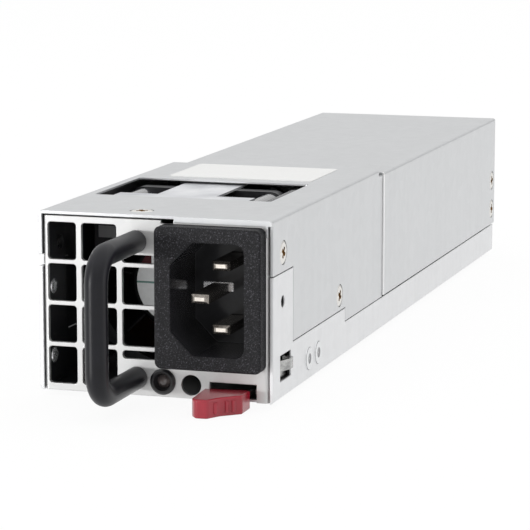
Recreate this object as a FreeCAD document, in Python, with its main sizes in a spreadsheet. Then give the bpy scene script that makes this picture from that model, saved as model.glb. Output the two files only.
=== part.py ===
"""Hot swap server power supply, a parametric FreeCAD assembly in millimetres.

+X is to the right seen from the handle end, +Y runs into the bay and +Z is up. The origin is
on the bottom face, at the front panel's face, in the middle of the front section's width.
"""

import FreeCAD, Part
import math
import os
import re

import Sketcher
from FreeCAD import Vector

doc = FreeCAD.newDocument("power_supply")

# Driving sizes in millimetres, degrees or counts. Each is written once, here.
SIZES = {
    # case
    "case_length": 220,
    "front_width": 54.1,
    "case_height": 40.25,
    "floor_sheet": 0.8,
    "cover_sheet": 0.7,
    "panel_sheet": 1.0,
    "bend_radius": 0.7,
    "seam": 0.25,
    "front_length": 88,
    "flange_tail": 3.5,
    "cover_drop": 1.0,
    "cover_overlap": 6,
    "rear_step": 0.4,
    "side_high": 11.1,
    "side_low": 7.8,
    "side_step": 57.6,
    "tab_length": 14.8,
    "tab_height": 27.8,
    "tab_hole": 2.7,
    "tab_hole_y": 7.1,
    "tab_hole_z": 21.5,
    "corner_gap": 2.6,
    "lip_height": 1.3,
    "lip_start": 4.7,
    "lip_tail": 3.7,
    "lip_slit": 0.3,
    "rear_lift": 0.6,
    "opening_over": 2.8,
    "opening_width": 42.5,
    "opening_corner": 1.0,
    "opening_lead": 0.6,
    # front panel
    "panel_foot": 0.1,
    "panel_gap": 0.35,
    "panel_flange": 10.5,
    "panel_bend": 0.9,
    "grille_margin": 1.0,
    "grille_bar": 1.2,
    "grille_end": 0.7,
    "window_height": 8.4,
    "window_bar": 0.88,
    "window_foot": 1.6,
    "window_corner": 0.8,
    "short_window": 1.9,
    "spare_hole": 4.6,
    "spare_hole_step": 6.5,
    "spare_hole_z": 3.1,
    "notch_step": 0.75,
    "notch_width": 10.75,
    "notch_top": 4.1,
    # handle
    "rod": 5.0,
    "handle_step": 5.5,
    "handle_low": 4.0,
    "handle_rise": 30.3,
    "handle_reach": 24.2,
    "handle_bend": 6.0,
    "handle_bore_depth": 8,
    # inlet
    "inlet_margin": 1.6,
    "inlet_z": 22.85,
    "rim_width": 24.3,
    "rim_height": 31.4,
    "rim_thickness": 4.0,
    "rim_corner": 1.5,
    "rim_edge": 0.5,
    "socket_width": 16.8,
    "socket_height": 24.9,
    "socket_depth": 17,
    "socket_chamfer": 5.1,
    "socket_corner": 2.2,
    "shell_side": 2.2,
    "shell_end": 1.1,
    "shell_back": 2.0,
    "clip_height": 1.0,
    "clip_length": 4.0,
    "clip_width": 8.0,
    "blade_width": 4.0,
    "blade_thickness": 2.0,
    "blade_spacing": 14,
    "blade_offset": 2.0,
    "blade_recess": 3.5,
    "earth_recess": 1.0,
    "solder_width": 2.4,
    "solder_thickness": 0.8,
    # status lamp
    "lamp_step": 0.65,
    "lamp_z": 3.5,
    "bezel": 5.8,
    "bezel_height": 0.8,
    "barrel": 4.6,
    "barrel_length": 6,
    "lens": 3.0,
    "lens_depth": 0.5,
    "bezel_lip": 0.9,
    # release latch
    "window_start": 5.1,
    "window_length": 8.1,
    "window_low": 3.9,
    "window_rise": 5.8,
    "strip": 0.6,
    "strip_foot": 1.2,
    "strip_low": 2.0,
    "strip_high": 7.8,
    "nose_low": 6.0,
    "nose_high": 8.4,
    "nose_reach": 0.95,
    "stem_high": 2.4,
    "root_y": 23.5,
    "root_gap": 0.3,
    "spring_length": 15,
    "rivet_one": 27.2,
    "rivet_pitch": 7.3,
    "rivet_z": 4.9,
    "rivet_head": 5.4,
    "rivet_height": 0.25,
    "rivet_shank": 3.0,
    "panel_rivet_tail": 3.6,
    "panel_rivet_y": 3.2,
    "panel_rivet_low": 7.3,
    "panel_rivet_pitch": 15.6,
    "latch_foot": -1.2,
    "latch_height": 4.15,
    "latch_edge": 0.4,
    "latch_round": 1.2,
    "rib": 0.9,
    "rib_inset": 0.8,
    # fan
    "fan_size": 38,
    "fan_depth": 28,
    "fan_margin": 1.5,
    "fan_y": 28,
    "fan_corner": 3.0,
    "fan_flange": 3.5,
    "fan_bore": 36.4,
    "fan_wall": 0.7,
    "fan_hole": 3.4,
    "fan_hole_pitch": 31.5,
    "hub": 22.2,
    "hub_wall": 1.2,
    "hub_length": 19,
    "hub_front": 2.6,
    "hub_label": 19.2,
    "label_thickness": 0.15,
    "blade_count": 7,
    "tip_gap": 0.6,
    "fan_blade": 1.3,
    "strut": 2.4,
    "strut_depth": 2.6,
    "strut_count": 4,
    "motor_seat": 19,
    "fan_shaft": 2.0,
    "bearing": 6.0,
    "bearing_width": 2.5,
    "bearing_tube": 8.0,
    "tube_length": 14,
    "coil": 15.5,
    "coil_length": 9,
    "coil_edge": 1.0,
    "running_gap": 0.3,
    "fit_gap": 0.05,
    "strap_width": 14.5,
    "strap_sheet": 0.5,
    "strap_tail": 5.5,
    "strap_bar": 33,
    "strap_bar_length": 10.5,
    "lead": 3.8,
    "lead_bend": 8,
    "baffle_sheet": 0.4,
    "baffle_height": 33.5,
    # boards and what stands on them
    "board_lift": 2.6,
    "board_sheet": 1.6,
    "board_start": 60,
    "board_margin": 1.2,
    "edge_width": 40,
    "edge_length": 11,
    "contact": 0.1,
    "contact_length": 8.5,
    "power_contact": 6.0,
    "power_count": 2,
    "signal_contact": 1.0,
    "signal_pitch": 1.6,
    "signal_count": 7,
    "contact_gap": 0.8,
    "standoff": 5.0,
    "standoff_front": 6.6,
    "screw": 3.0,
    "screw_head": 5.2,
    "screw_grip": 1.8,
    "side_grip": 1.3,
    "head_height": 1.6,
    "film": 0.25,
    "solder_gap": 0.2,
    "inlet_board_y": 20,
    "inlet_board_height": 27,
    "vent": 4.0,
    "vent_pitch": 5.2,
    "vent_columns": 8,
    "vent_rows": 4,
    "rear_sheet": 0.8,
    "rear_flange": 8,
    "edge_slot": 4.6,
    "rear_screw_low": 12.9,
    "rear_screw_pitch": 8.4,
    "rear_screw_in": 3.5,
    "front_screw_y": 7.6,
    "front_screw_step": 4.4,
    "side_screw_y": 52.9,
    "side_screw_z": 14.9,
    "side_tab": 8.4,
    "top_screw_x": -5.05,
    "top_screw_y": 6.1,
    "label_width": 35.8,
    "label_length": 24.0,
    "label_left": -18.6,
    "label_step": 3.8,
    "label_corner": 1.0,
    "can": 30,
    "can_length": 50,
    "can_y": 92,
    "side_room": 0.7,
    "can_edge": 1.6,
    "choke": 23,
    "choke_height": 15,
    "choke_hole": 8,
    "choke_y": 80,
    "choke_turns": 14,
    "sink_height": 29,
    "sink_length": 56,
    "sink_base": 2.2,
    "sink_y": 93,
    "fin": 1.2,
    "fin_reach": 4.0,
    "fin_count": 8,
    "package_width": 10,
    "package_height": 15,
    "package_thickness": 4.4,
    "package_lift": 6,
    "package_start": 3,
    "package_pitch": 18,
    "leg": 0.8,
    "core_width": 32,
    "core_height": 26,
    "core_depth": 21,
    "core_leg": 9.0,
    "core_yoke": 4.8,
    "core_y": 148,
    "winding_gap": 0.3,
    "winding_swell": 5,
    "small_can": 8,
    "small_can_height": 18,
    "small_can_pitch": 9.2,
    "small_can_rows": 2,
    "small_can_columns": 3,
    "small_can_y": 190,
    "card_height": 26,
    "card_length": 30,
    "card_step": 10.5,
    "card_y": 182,
    "chip": 7,
    "chip_height": 1.2,
    "cap_length": 18,
    "cap_width": 9,
    "cap_height": 16,
    "cap_y": 62,
    "cap_step": 13,
    "fuse": 5.2,
    "fuse_length": 20,
    "fuse_step": 3.5,
    "filter_outer": 11,
    "filter_inner": 4,
    "filter_height": 5.5,
    "filter_step": 5.1,
    "wire": 2.0,
    "wire_bend": 8,
    "wire_step": 2.4,
    "wire_margin": 3.4,
    "wire_drop": 2.0,
    "wire_landing": 1.2,
}

# Sizes and places worked out from the driving ones.
DERIVED = {
    "half": "front_width / 2",
    "wall_inside": "half - floor_sheet",
    "flange_inside": "half - cover_sheet",
    "cover_top": "case_height - cover_sheet",
    "rear_top": "case_height - cover_drop",
    "rear_right": "half + rear_step",
    "rear_left": "-wall_inside + seam",
    "panel_side": "wall_inside - seam",
    "panel_top": "cover_top - panel_gap",
    "inlet_x": "half - inlet_margin - rim_width / 2",
    "inlet_left": "inlet_x - rim_width / 2",
    "inlet_right": "inlet_x + rim_width / 2",
    "window_pitch": "window_height + window_bar",
    "grille_left": "-panel_side + grille_margin",
    "grille_span": "inlet_left - grille_end - grille_left - 2 * grille_bar",
    "column_one": "grille_span * 0.292",
    "column_two": "grille_span * 0.358",
    "column_three": "grille_span * 0.35",
    "second_left": "grille_left + column_one + grille_bar",
    "third_left": "second_left + column_two + grille_bar",
    "fan_x": "-wall_inside + fan_margin + fan_size / 2",
    "opening_start": "fan_y - opening_lead",
    "opening_length": "fan_depth + opening_over",
    "opening_left": "fan_x - fan_size / 2 + seam",
    "handle_x": "inlet_left - handle_step",
    "handle_high": "handle_low + handle_rise",
    "lamp_x": "inlet_left + lamp_step",
    "spare_hole_x": "lamp_x + spare_hole_step",
    "notch_left": "inlet_x - notch_step",
    "front_screw_z": "tab_height + front_screw_step",
    "label_y": "opening_start + opening_length + label_step",
    "socket_floor": "socket_depth - rim_thickness",
    "inlet_rear": "socket_floor + shell_back",
    "blade_x": "inlet_x + blade_offset",
    "earth_x": "inlet_x - blade_offset",
    "fan_z": "floor_sheet + fan_size / 2",
    "fan_top": "floor_sheet + fan_size",
    "fan_rear": "fan_y + fan_depth",
    "fan_right": "fan_x + fan_size / 2",
    "hub_face": "fan_y + hub_front",
    "motor_y": "fan_y + motor_seat",
    "strap_top": "fan_top + strap_sheet",
    "board_under": "floor_sheet + board_lift",
    "board_top": "board_under + board_sheet",
    "board_left": "rear_left + cover_sheet + board_margin / 2",
    "board_right": "wall_inside - board_margin",
    "board_end": "case_length - rear_sheet - seam",
    "lead_x": "fan_right + lead / 2 + running_gap / 3",
    "lead_z": "cover_top - lead / 2 - seam",
    "strip_face": "wall_inside - running_gap",
    "nose_x": "half + nose_reach",
    "spring_start": "root_y + root_gap",
    "inlet_board_back": "inlet_board_y + board_sheet",
    "seated": "board_top + solder_gap",
    "can_x": "board_left + side_room + can / 2",
    "choke_x": "board_left + side_room + choke / 2",
    "core_x": "board_left + side_room + core_width / 2",
    "small_can_x": "board_left + side_room + small_can / 2",
    "sink_x": "board_right - sink_base - fin_reach",
    "card_x": "board_right - card_step",
    "cap_x": "board_right - cap_step",
    "fuse_x": "board_right - fuse_step",
    "wire_x": "flange_inside - wire_margin",
}

FRONT, SIDE, PLAN = "XZ_Plane", "YZ_Plane", "XY_Plane"

sheet = doc.addObject("Spreadsheet::Sheet", "sizes")
for row, (name, size) in enumerate(SIZES.items(), 1):
    sheet.set(f"A{row}", name)
    sheet.set(f"B{row}", str(size))
    sheet.setAlias(f"B{row}", name)
doc.recompute()

nodes = []


def expression(formula):
    """Turn a formula in the names above into one that reads the sheet."""
    def spell(match):
        word = match.group(0)
        if word in DERIVED:
            return "(" + expression(DERIVED[word]) + ")"
        return "sizes." + word if word in SIZES else word
    return re.sub(r"[a-z][a-z_0-9]*", spell, str(formula))


def value(formula):
    result = sheet.evalExpression(expression(formula))
    return float(getattr(result, "Value", result))


def point(*formulas):
    return Vector(*(value(formula) for formula in formulas))


def bind(thing, **formulas):
    for path, formula in formulas.items():
        thing.setExpression(path.replace("__", "."), expression(formula))


def place(thing, x="0", y="0", z="0"):
    bind(thing, Placement__Base__x=x, Placement__Base__y=y, Placement__Base__z=z)


def keep(thing, label):
    """Give a finished sub-part its own name and list it for export."""
    thing.Label = label
    nodes.append(thing)
    return thing


# Sketches -----------------------------------------------------------------------------------

def new_body(label):
    return doc.addObject("PartDesign::Body", label)


def sketch_on(body, plane, at="0"):
    """A sketch parallel to an origin plane, at a place along that plane's axis."""
    sketch = body.newObject("Sketcher::SketchObject", body.Name + "_sketch")
    support = next(item for item in body.Origin.OriginFeatures if item.Role == plane)
    sketch.AttachmentSupport = (support, [""])
    sketch.MapMode = "FlatFace"
    toward = "-" if plane == FRONT else ""
    bind(sketch, AttachmentOffset__Base__z=f"{toward}({at})")
    return sketch


def fix(sketch, constraint, formula):
    index = sketch.addConstraint(constraint)
    sketch.setExpression(f"Constraints[{index}]", expression(formula))


def pin(sketch, item, end, u, v):
    """Hold one point of a sketch at formulas u and v from the sketch's origin."""
    fix(sketch, Sketcher.Constraint("DistanceX", -1, 1, item, end, value(u)), u)
    fix(sketch, Sketcher.Constraint("DistanceY", -1, 1, item, end, value(v)), v)


def polygon(sketch, *corners):
    ends = [point(u, v) for u, v in corners]
    lines = [sketch.addGeometry(Part.LineSegment(start, end), False)
             for start, end in zip(ends, ends[1:] + ends[:1])]
    for line, following in zip(lines, lines[1:] + lines[:1]):
        sketch.addConstraint(Sketcher.Constraint("Coincident", line, 2, following, 1))
    for line, (u, v) in zip(lines, corners):
        pin(sketch, line, 1, u, v)
    return sketch


def rectangle(sketch, left, low, right, high):
    return polygon(sketch, (left, low), (right, low), (right, high), (left, high))


def circle(sketch, u, v, radius):
    round_edge = Part.Circle(point(u, v), Vector(0, 0, 1), value(radius))
    item = sketch.addGeometry(round_edge, False)
    fix(sketch, Sketcher.Constraint("Radius", item, value(radius)), radius)
    pin(sketch, item, 3, u, v)
    return sketch


def rounded(sketch, left, low, right, high, radius):
    """A rectangle with its four corners rounded by tangent arcs."""
    u0, v0, u1, v1, r = (value(item) for item in (left, low, right, high, radius))
    sides = [((u0 + r, v0), (u1 - r, v0)), ((u1, v0 + r), (u1, v1 - r)),
             ((u1 - r, v1), (u0 + r, v1)), ((u0, v1 - r), (u0, v0 + r))]
    centres = [(u1 - r, v0 + r), (u1 - r, v1 - r), (u0 + r, v1 - r), (u0 + r, v0 + r)]
    lines = [sketch.addGeometry(Part.LineSegment(Vector(*start, 0), Vector(*end, 0)), False)
             for start, end in sides]
    arcs = []
    for quarter, centre in enumerate(centres, -1):
        ring = Part.Circle(Vector(*centre, 0), Vector(0, 0, 1), r)
        turn = (quarter * math.pi / 2, (quarter + 1) * math.pi / 2)
        arcs.append(sketch.addGeometry(Part.ArcOfCircle(ring, *turn), False))
    for line, arc, following in zip(lines, arcs, lines[1:] + lines[:1]):
        sketch.addConstraint(Sketcher.Constraint("Tangent", line, 2, arc, 1))
        sketch.addConstraint(Sketcher.Constraint("Tangent", arc, 2, following, 1))
    for line, way in zip(lines, ("Horizontal", "Vertical") * 2):
        sketch.addConstraint(Sketcher.Constraint(way, line))
    for arc in arcs[1:]:
        sketch.addConstraint(Sketcher.Constraint("Equal", arcs[0], arc))
    fix(sketch, Sketcher.Constraint("Radius", arcs[0], r), radius)
    fix(sketch, Sketcher.Constraint("DistanceY", -1, 1, lines[0], 1, v0), low)
    fix(sketch, Sketcher.Constraint("DistanceX", -1, 1, lines[1], 1, u1), right)
    fix(sketch, Sketcher.Constraint("DistanceY", -1, 1, lines[2], 1, v1), high)
    fix(sketch, Sketcher.Constraint("DistanceX", -1, 1, lines[3], 1, u0), left)
    return sketch


# Features -----------------------------------------------------------------------------------

def faces_front(sketch):
    return sketch.AttachmentSupport[0][0].Role == FRONT


def pad(body, sketch, length):
    """Add material from the sketch's plane towards +X, +Y or +Z."""
    feature = body.newObject("PartDesign::Pad", body.Name + "_pad")
    feature.Profile = sketch
    feature.Reversed = faces_front(sketch)
    bind(feature, Length=length)
    return feature


def pocket(body, sketch, length):
    """Cut from the sketch's plane towards +X, +Y or +Z."""
    feature = body.newObject("PartDesign::Pocket", body.Name + "_pocket")
    feature.Profile = sketch
    feature.Reversed = not faces_front(sketch)
    bind(feature, Length=length)
    return feature


def revolve(body, sketch, cut=False):
    """Turn a sketch about its own vertical axis, to add or to cut."""
    kind = "Groove" if cut else "Revolution"
    feature = body.newObject("PartDesign::" + kind, body.Name + "_turned")
    feature.Profile = sketch
    feature.ReferenceAxis = (sketch, ["V_Axis"])
    feature.Angle = 360
    return feature


def row_of(body, feature, sketch, axis, pitch, count):
    """Repeat a feature along its sketch's horizontal or vertical axis."""
    pattern = body.newObject("PartDesign::LinearPattern", body.Name + "_row")
    pattern.Originals = [feature]
    pattern.Direction = (sketch, [axis])
    pattern.Mode = "Spacing"
    bind(pattern, Offset=pitch, Occurrences=count)
    body.Tip = pattern
    return pattern


def ring_of(body, feature, sketch, axis, count):
    """Repeat a feature round its sketch's axis."""
    pattern = body.newObject("PartDesign::PolarPattern", body.Name + "_ring")
    pattern.Originals = [feature]
    pattern.Axis = (sketch, [axis])
    pattern.Angle = 360
    bind(pattern, Occurrences=count)
    body.Tip = pattern
    return pattern


def edges_in(shape, low, high, along=None):
    """Names of the edges that lie inside a box, those along one axis if it is given."""
    slack = Vector(0.01, 0.01, 0.01)
    room = FreeCAD.BoundBox(low - slack, high + slack)
    names = []
    for index, edge in enumerate(shape.Edges, 1):
        ends = [vertex.Point for vertex in edge.Vertexes]
        if not all(room.isInside(end) for end in ends):
            continue
        reach = ends[-1] - ends[0]
        if along is None or reach.cross(along).Length < 1e-6 < reach.Length:
            names.append(f"Edge{index}")
    return names


def soften(body, radius, boxes, along=None, kind="Fillet"):
    """Round or bevel the edges of a body that lie inside boxes, each a pair of corners."""
    doc.recompute()
    base = body.Tip
    names = [name for low, high in boxes
             for name in edges_in(base.Shape, point(*low), point(*high), along)]
    feature = body.newObject("PartDesign::" + kind, body.Name + "_edge")
    feature.Base = (base, names)
    bind(feature, **{"Radius" if kind == "Fillet" else "Size": radius})
    return feature


def long_edges(left, right, start, end, z):
    """Boxes round the two long edges of a folded sheet, one at each side."""
    return [((side, start, z), (side, end, z)) for side in (left, right)]


# Plain solids -------------------------------------------------------------------------------

def block(name, low, high):
    """A box between two corners, each a triple of formulas."""
    solid = doc.addObject("Part::Box", name)
    reach = [f"({far}) - ({near})" for near, far in zip(low, high)]
    bind(solid, Length=reach[0], Width=reach[1], Height=reach[2])
    place(solid, *low)
    return solid


def rod(name, way, start, radius, length):
    """A cylinder that starts at a point and runs the way of a vector."""
    solid = doc.addObject("Part::Cylinder", name)
    solid.Placement = FreeCAD.Placement(Vector(), FreeCAD.Rotation(Vector(0, 0, 1), way))
    bind(solid, Radius=radius, Height=length)
    place(solid, *start)
    return solid


def fuse(name, *solids):
    whole = doc.addObject("Part::MultiFuse", name)
    whole.Shapes = list(solids)
    return whole


def cut(name, base, tool):
    rest = doc.addObject("Part::Cut", name)
    rest.Base = base
    rest.Tool = tool
    return rest


def group(name, solids):
    """Identical or paired solids that share one node."""
    pieces = doc.addObject("Part::Compound", name)
    pieces.Links = list(solids)
    return pieces


def tube(name, corners, radius, bend):
    """A round wire of straight runs joined by tangent arcs, as a solid of its own."""
    stops = [point(*corner) for corner in corners]
    turn = value(bend)
    edges = []
    start = stops[0]
    for before, corner, after in zip(stops, stops[1:], stops[2:]):
        into = (corner - before).normalize()
        out = (after - corner).normalize()
        back = turn * math.tan(into.getAngle(out) / 2)
        first, last = corner - into * back, corner + out * back
        inward = (out - into).normalize()
        centre_reach = turn / math.cos(into.getAngle(out) / 2)
        middle = corner + inward * (centre_reach - turn)
        edges.append(Part.LineSegment(start, first).toShape())
        edges.append(Part.Arc(first, middle, last).toShape())
        start = last
    edges.append(Part.LineSegment(start, stops[-1]).toShape())
    path = Part.Wire(edges)
    way = stops[1] - stops[0]
    section = Part.Wire(Part.makeCircle(value(radius), stops[0], way))
    solid = doc.addObject("Part::Feature", name)
    solid.Shape = path.makePipeShell([section], True, False)
    expected = math.pi * value(radius) ** 2 * path.Length
    if abs(solid.Shape.Volume / expected - 1) > 0.02:
        raise ValueError(name + " did not sweep to its whole volume")
    return solid


RIGHT, LEFT = Vector(1, 0, 0), Vector(-1, 0, 0)
BACK, AHEAD = Vector(0, 1, 0), Vector(0, -1, 0)
UP, DOWN = Vector(0, 0, 1), Vector(0, 0, -1)


# Sheet-metal case ---------------------------------------------------------------------------

def base_chassis():
    """Bottom tray: floor, low stepped side walls and a tall tab at each front corner."""
    body = new_body("base_chassis")
    profile = sketch_on(body, FRONT)
    polygon(profile, ("-half", "0"), ("half", "0"), ("half", "tab_height"),
            ("wall_inside", "tab_height"), ("wall_inside", "floor_sheet"),
            ("-wall_inside", "floor_sheet"), ("-wall_inside", "tab_height"),
            ("-half", "tab_height"))
    pad(body, profile, "case_length")

    steps = sketch_on(body, SIDE, "-half - 1")
    polygon(steps, ("tab_length", "side_high"), ("side_step", "side_high"),
            ("side_step", "side_low"), ("case_length + 1", "side_low"),
            ("case_length + 1", "tab_height + 1"), ("tab_length", "tab_height + 1"))
    pocket(body, steps, "front_width + 2")

    # The floor stops behind the front panel.
    mouth = sketch_on(body, PLAN, "-1")
    rectangle(mouth, "-wall_inside", "-1", "wall_inside", "panel_sheet + panel_foot")
    pocket(body, mouth, "floor_sheet + 1")

    catch = sketch_on(body, SIDE, "wall_inside - 1")
    rectangle(catch, "window_start", "window_low",
              "window_start + window_length", "window_low + window_rise")
    circle(catch, "tab_hole_y", "tab_hole_z", "tab_hole / 2")
    for number in range(2):
        circle(catch, f"rivet_one + {number} * rivet_pitch", "rivet_z", "rivet_shank / 2 + fit_gap")
    pocket(body, catch, "floor_sheet + 2")

    holes = sketch_on(body, SIDE, "-half - 1")
    for number in range(2):
        circle(holes, "panel_rivet_y", f"panel_rivet_low + {number} * panel_rivet_pitch",
               "rivet_shank / 2 + fit_gap")
    pocket(body, holes, "floor_sheet + 2")

    # Ears inside the walls that take the side screws.
    for inner in ("wall_inside - floor_sheet", "-wall_inside"):
        ear = sketch_on(body, SIDE, inner)
        rectangle(ear, "side_screw_y - side_tab / 2", "floor_sheet",
                  "side_screw_y + side_tab / 2", "side_screw_z + side_tab / 2")
        pad(body, ear, "floor_sheet")
        thread = sketch_on(body, SIDE, inner)
        circle(thread, "side_screw_y", "side_screw_z", "screw / 2 + fit_gap")
        pocket(body, thread, "floor_sheet")
    soften(body, "bend_radius", long_edges("-half", "half", "0", "case_length", "0"), BACK)
    return keep(body, "base_chassis")


def front_cover():
    """Folded cover of the front section, with the fan's opening and a lip over the inlet."""
    body = new_body("front_cover")
    profile = sketch_on(body, FRONT)
    polygon(profile, ("-half", "side_low + seam"), ("-flange_inside", "side_low + seam"),
            ("-flange_inside", "cover_top"), ("flange_inside", "cover_top"),
            ("flange_inside", "side_low + seam"), ("half", "side_low + seam"),
            ("half", "case_height"), ("-half", "case_height"))
    pad(body, profile, "front_length")

    # The side flanges run on a little behind the top plate.
    tail = sketch_on(body, FRONT, "front_length")
    for near, far in (("-half", "-flange_inside"), ("flange_inside", "half")):
        rectangle(tail, near, "side_low + seam", far, "rear_top - cover_sheet")
    pad(body, tail, "flange_tail")

    skirt = sketch_on(body, SIDE, "-half - 1")
    polygon(skirt, ("-1", "0"), ("side_step + seam", "0"), ("side_step + seam", "side_high + seam"),
            ("tab_length + seam", "side_high + seam"),
            ("tab_length + seam", "tab_height + seam"), ("-1", "tab_height + seam"))
    pocket(body, skirt, "front_width + 2")

    corner = sketch_on(body, SIDE, "-half - 1")
    rectangle(corner, "-1", "tab_height - 1", "corner_gap", "tab_height + corner_gap")
    pocket(body, corner, "cover_sheet + 2")

    opening = sketch_on(body, PLAN, "cover_top - 1")
    rounded(opening, "opening_left", "opening_start", "opening_left + opening_width",
            "opening_start + opening_length", "opening_corner")
    circle(opening, "top_screw_x", "top_screw_y", "screw_head / 2 + fit_gap * 2")
    pocket(body, opening, "cover_sheet + 2")

    # The lip starts right of the panel's notch and ends in a short tail beside the inlet.
    lip = sketch_on(body, FRONT, "-cover_sheet")
    polygon(lip, ("lip_start", "case_height - lip_height"),
            ("inlet_right + fit_gap * 2", "case_height - lip_height"),
            ("inlet_right + fit_gap * 2", "case_height - lip_tail"),
            ("flange_inside - lip_slit", "case_height - lip_tail"),
            ("flange_inside - lip_slit", "case_height - lip_height"),
            ("half", "case_height - lip_height"),
            ("half", "case_height"), ("lip_start", "case_height"))
    pad(body, lip, "cover_sheet")

    for side in ("-half - 1", "flange_inside - 1"):
        holes = sketch_on(body, SIDE, side)
        for y, z in (("front_screw_y", "front_screw_z"), ("side_screw_y", "side_screw_z")):
            circle(holes, y, z, "screw_head / 2 + fit_gap * 2")
        pocket(body, holes, "cover_sheet + 2")
    soften(body, "bend_radius",
           long_edges("-half", "half", "-cover_sheet", "front_length", "case_height"), BACK)
    return keep(body, "front_cover")


def rear_cover():
    """Folded cover of the rear section: lower, and its right wall stands a step further out."""
    body = new_body("rear_cover")
    profile = sketch_on(body, FRONT, "front_length - cover_overlap")
    polygon(profile, ("rear_left", "floor_sheet + seam"),
            ("rear_left + cover_sheet", "floor_sheet + seam"),
            ("rear_left + cover_sheet", "rear_top - cover_sheet"),
            ("rear_right - cover_sheet", "rear_top - cover_sheet"),
            ("rear_right - cover_sheet", "side_low + rear_lift"),
            ("rear_right", "side_low + rear_lift"),
            ("rear_right", "rear_top"), ("rear_left", "rear_top"))
    pad(body, profile, "case_length - front_length + cover_overlap")

    tongue = sketch_on(body, PLAN, "0")
    rectangle(tongue, "flange_inside - seam", "front_length - cover_overlap - 1",
              "rear_right + 1", "front_length + flange_tail + seam")
    pocket(body, tongue, "case_height")

    for side in ("rear_left - 1", "rear_right - cover_sheet - 1"):
        holes = sketch_on(body, SIDE, side)
        for number in range(2):
            circle(holes, "case_length - rear_screw_in",
                   f"rear_screw_low + {number} * rear_screw_pitch", "screw_head / 2 + fit_gap * 2")
        pocket(body, holes, "cover_sheet + 2")
    soften(body, "bend_radius", long_edges("rear_left", "rear_right",
           "front_length - cover_overlap", "case_length", "rear_top"), BACK)
    return keep(body, "rear_cover")


def front_panel():
    """Punched plate: grille windows, inlet cut-out, lamp hole, spare hole and latch notch."""
    body = new_body("front_panel")
    channel = sketch_on(body, PLAN, "panel_foot")
    polygon(channel, ("-panel_side", "0"), ("panel_side", "0"), ("panel_side", "panel_flange"),
            ("panel_side - panel_sheet", "panel_flange"),
            ("panel_side - panel_sheet", "panel_sheet"),
            ("-panel_side + panel_sheet", "panel_sheet"),
            ("-panel_side + panel_sheet", "panel_flange"), ("-panel_side", "panel_flange"))
    pad(body, channel, "panel_top - panel_foot")

    ledge = sketch_on(body, PLAN, "panel_top - panel_sheet")
    rectangle(ledge, "-panel_side", "0", "inlet_left", "panel_flange")
    pad(body, ledge, "panel_sheet")

    # Four rows of windows in the first two columns, the third column short at the handle's feet.
    def windows(spans, low, high):
        frame = sketch_on(body, FRONT, "-1")
        for left, width in spans:
            rounded(frame, left, low, f"{left} + {width}", high, "window_corner")
        return frame, pocket(body, frame, "panel_sheet + 1.5")

    frame, punched = windows((("grille_left", "column_one"), ("second_left", "column_two")),
                             "window_foot", "window_foot + window_height")
    row_of(body, punched, frame, "V_Axis", "window_pitch", "4")
    for number in (1, 2):
        low = f"window_foot + {number} * window_pitch"
        windows((("third_left", "column_three"),), low, f"{low} + window_height")
    low_end = "window_foot + window_height"
    windows((("third_left", "column_three"),), f"{low_end} - short_window", low_end)
    top_row = "window_foot + 3 * window_pitch"
    windows((("third_left", "column_three"),), top_row, f"{top_row} + short_window")

    openings = sketch_on(body, FRONT, "-1")
    rectangle(openings, "inlet_x - socket_width / 2 - shell_side - seam",
              "inlet_z - socket_height / 2 - shell_end - seam",
              "inlet_x + socket_width / 2 + shell_side + seam",
              "inlet_z + socket_height / 2 + shell_end + seam")
    circle(openings, "lamp_x", "lamp_z", "barrel / 2 + fit_gap")
    circle(openings, "spare_hole_x", "spare_hole_z", "spare_hole / 2")
    rectangle(openings, "notch_left", "-1", "notch_left + notch_width", "notch_top")
    for z in ("handle_low", "handle_high"):
        circle(openings, "handle_x", z, "screw / 2 + fit_gap")
    pocket(body, openings, "panel_sheet + 1.5")

    top_gap = sketch_on(body, PLAN, "panel_top - panel_gap * 2")
    rectangle(top_gap, "inlet_left + panel_gap", "-1", "lip_start - panel_gap", "panel_flange + 1")
    pocket(body, top_gap, "panel_gap * 3")

    threads = sketch_on(body, PLAN, "panel_top - panel_sheet - 1")
    circle(threads, "top_screw_x", "top_screw_y", "screw / 2 + fit_gap")
    pocket(body, threads, "panel_sheet + 2")
    for side in ("-panel_side - 1", "panel_side - panel_sheet - 1"):
        thread = sketch_on(body, SIDE, side)
        circle(thread, "front_screw_y", "front_screw_z", "screw / 2 + fit_gap")
        pocket(body, thread, "panel_sheet + 2")

    # The flanges stand clear of the tray's floor.
    heel = sketch_on(body, SIDE, "-panel_side - 1")
    rectangle(heel, "panel_sheet", "0", "panel_flange + 1", "floor_sheet + seam")
    pocket(body, heel, "front_width")

    rivets = sketch_on(body, SIDE, "-panel_side - 1")
    for number in range(2):
        circle(rivets, "panel_rivet_y", f"panel_rivet_low + {number} * panel_rivet_pitch",
               "rivet_shank / 2 + fit_gap")
    pocket(body, rivets, "panel_sheet + 2")

    # The right flange leaves the latch strip and the side tab's hole free.
    latch_room = sketch_on(body, SIDE, "panel_side - panel_sheet - 1")
    rectangle(latch_room, "panel_sheet * 2", "0", "panel_flange + 1", "tab_hole_z + tab_hole")
    pocket(body, latch_room, "panel_sheet + 2")
    soften(body, "panel_bend", [((side, "0", "panel_foot"), (side, "0", "panel_top"))
                                for side in ("-panel_side", "panel_side")], UP)
    return keep(body, "front_panel")


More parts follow.
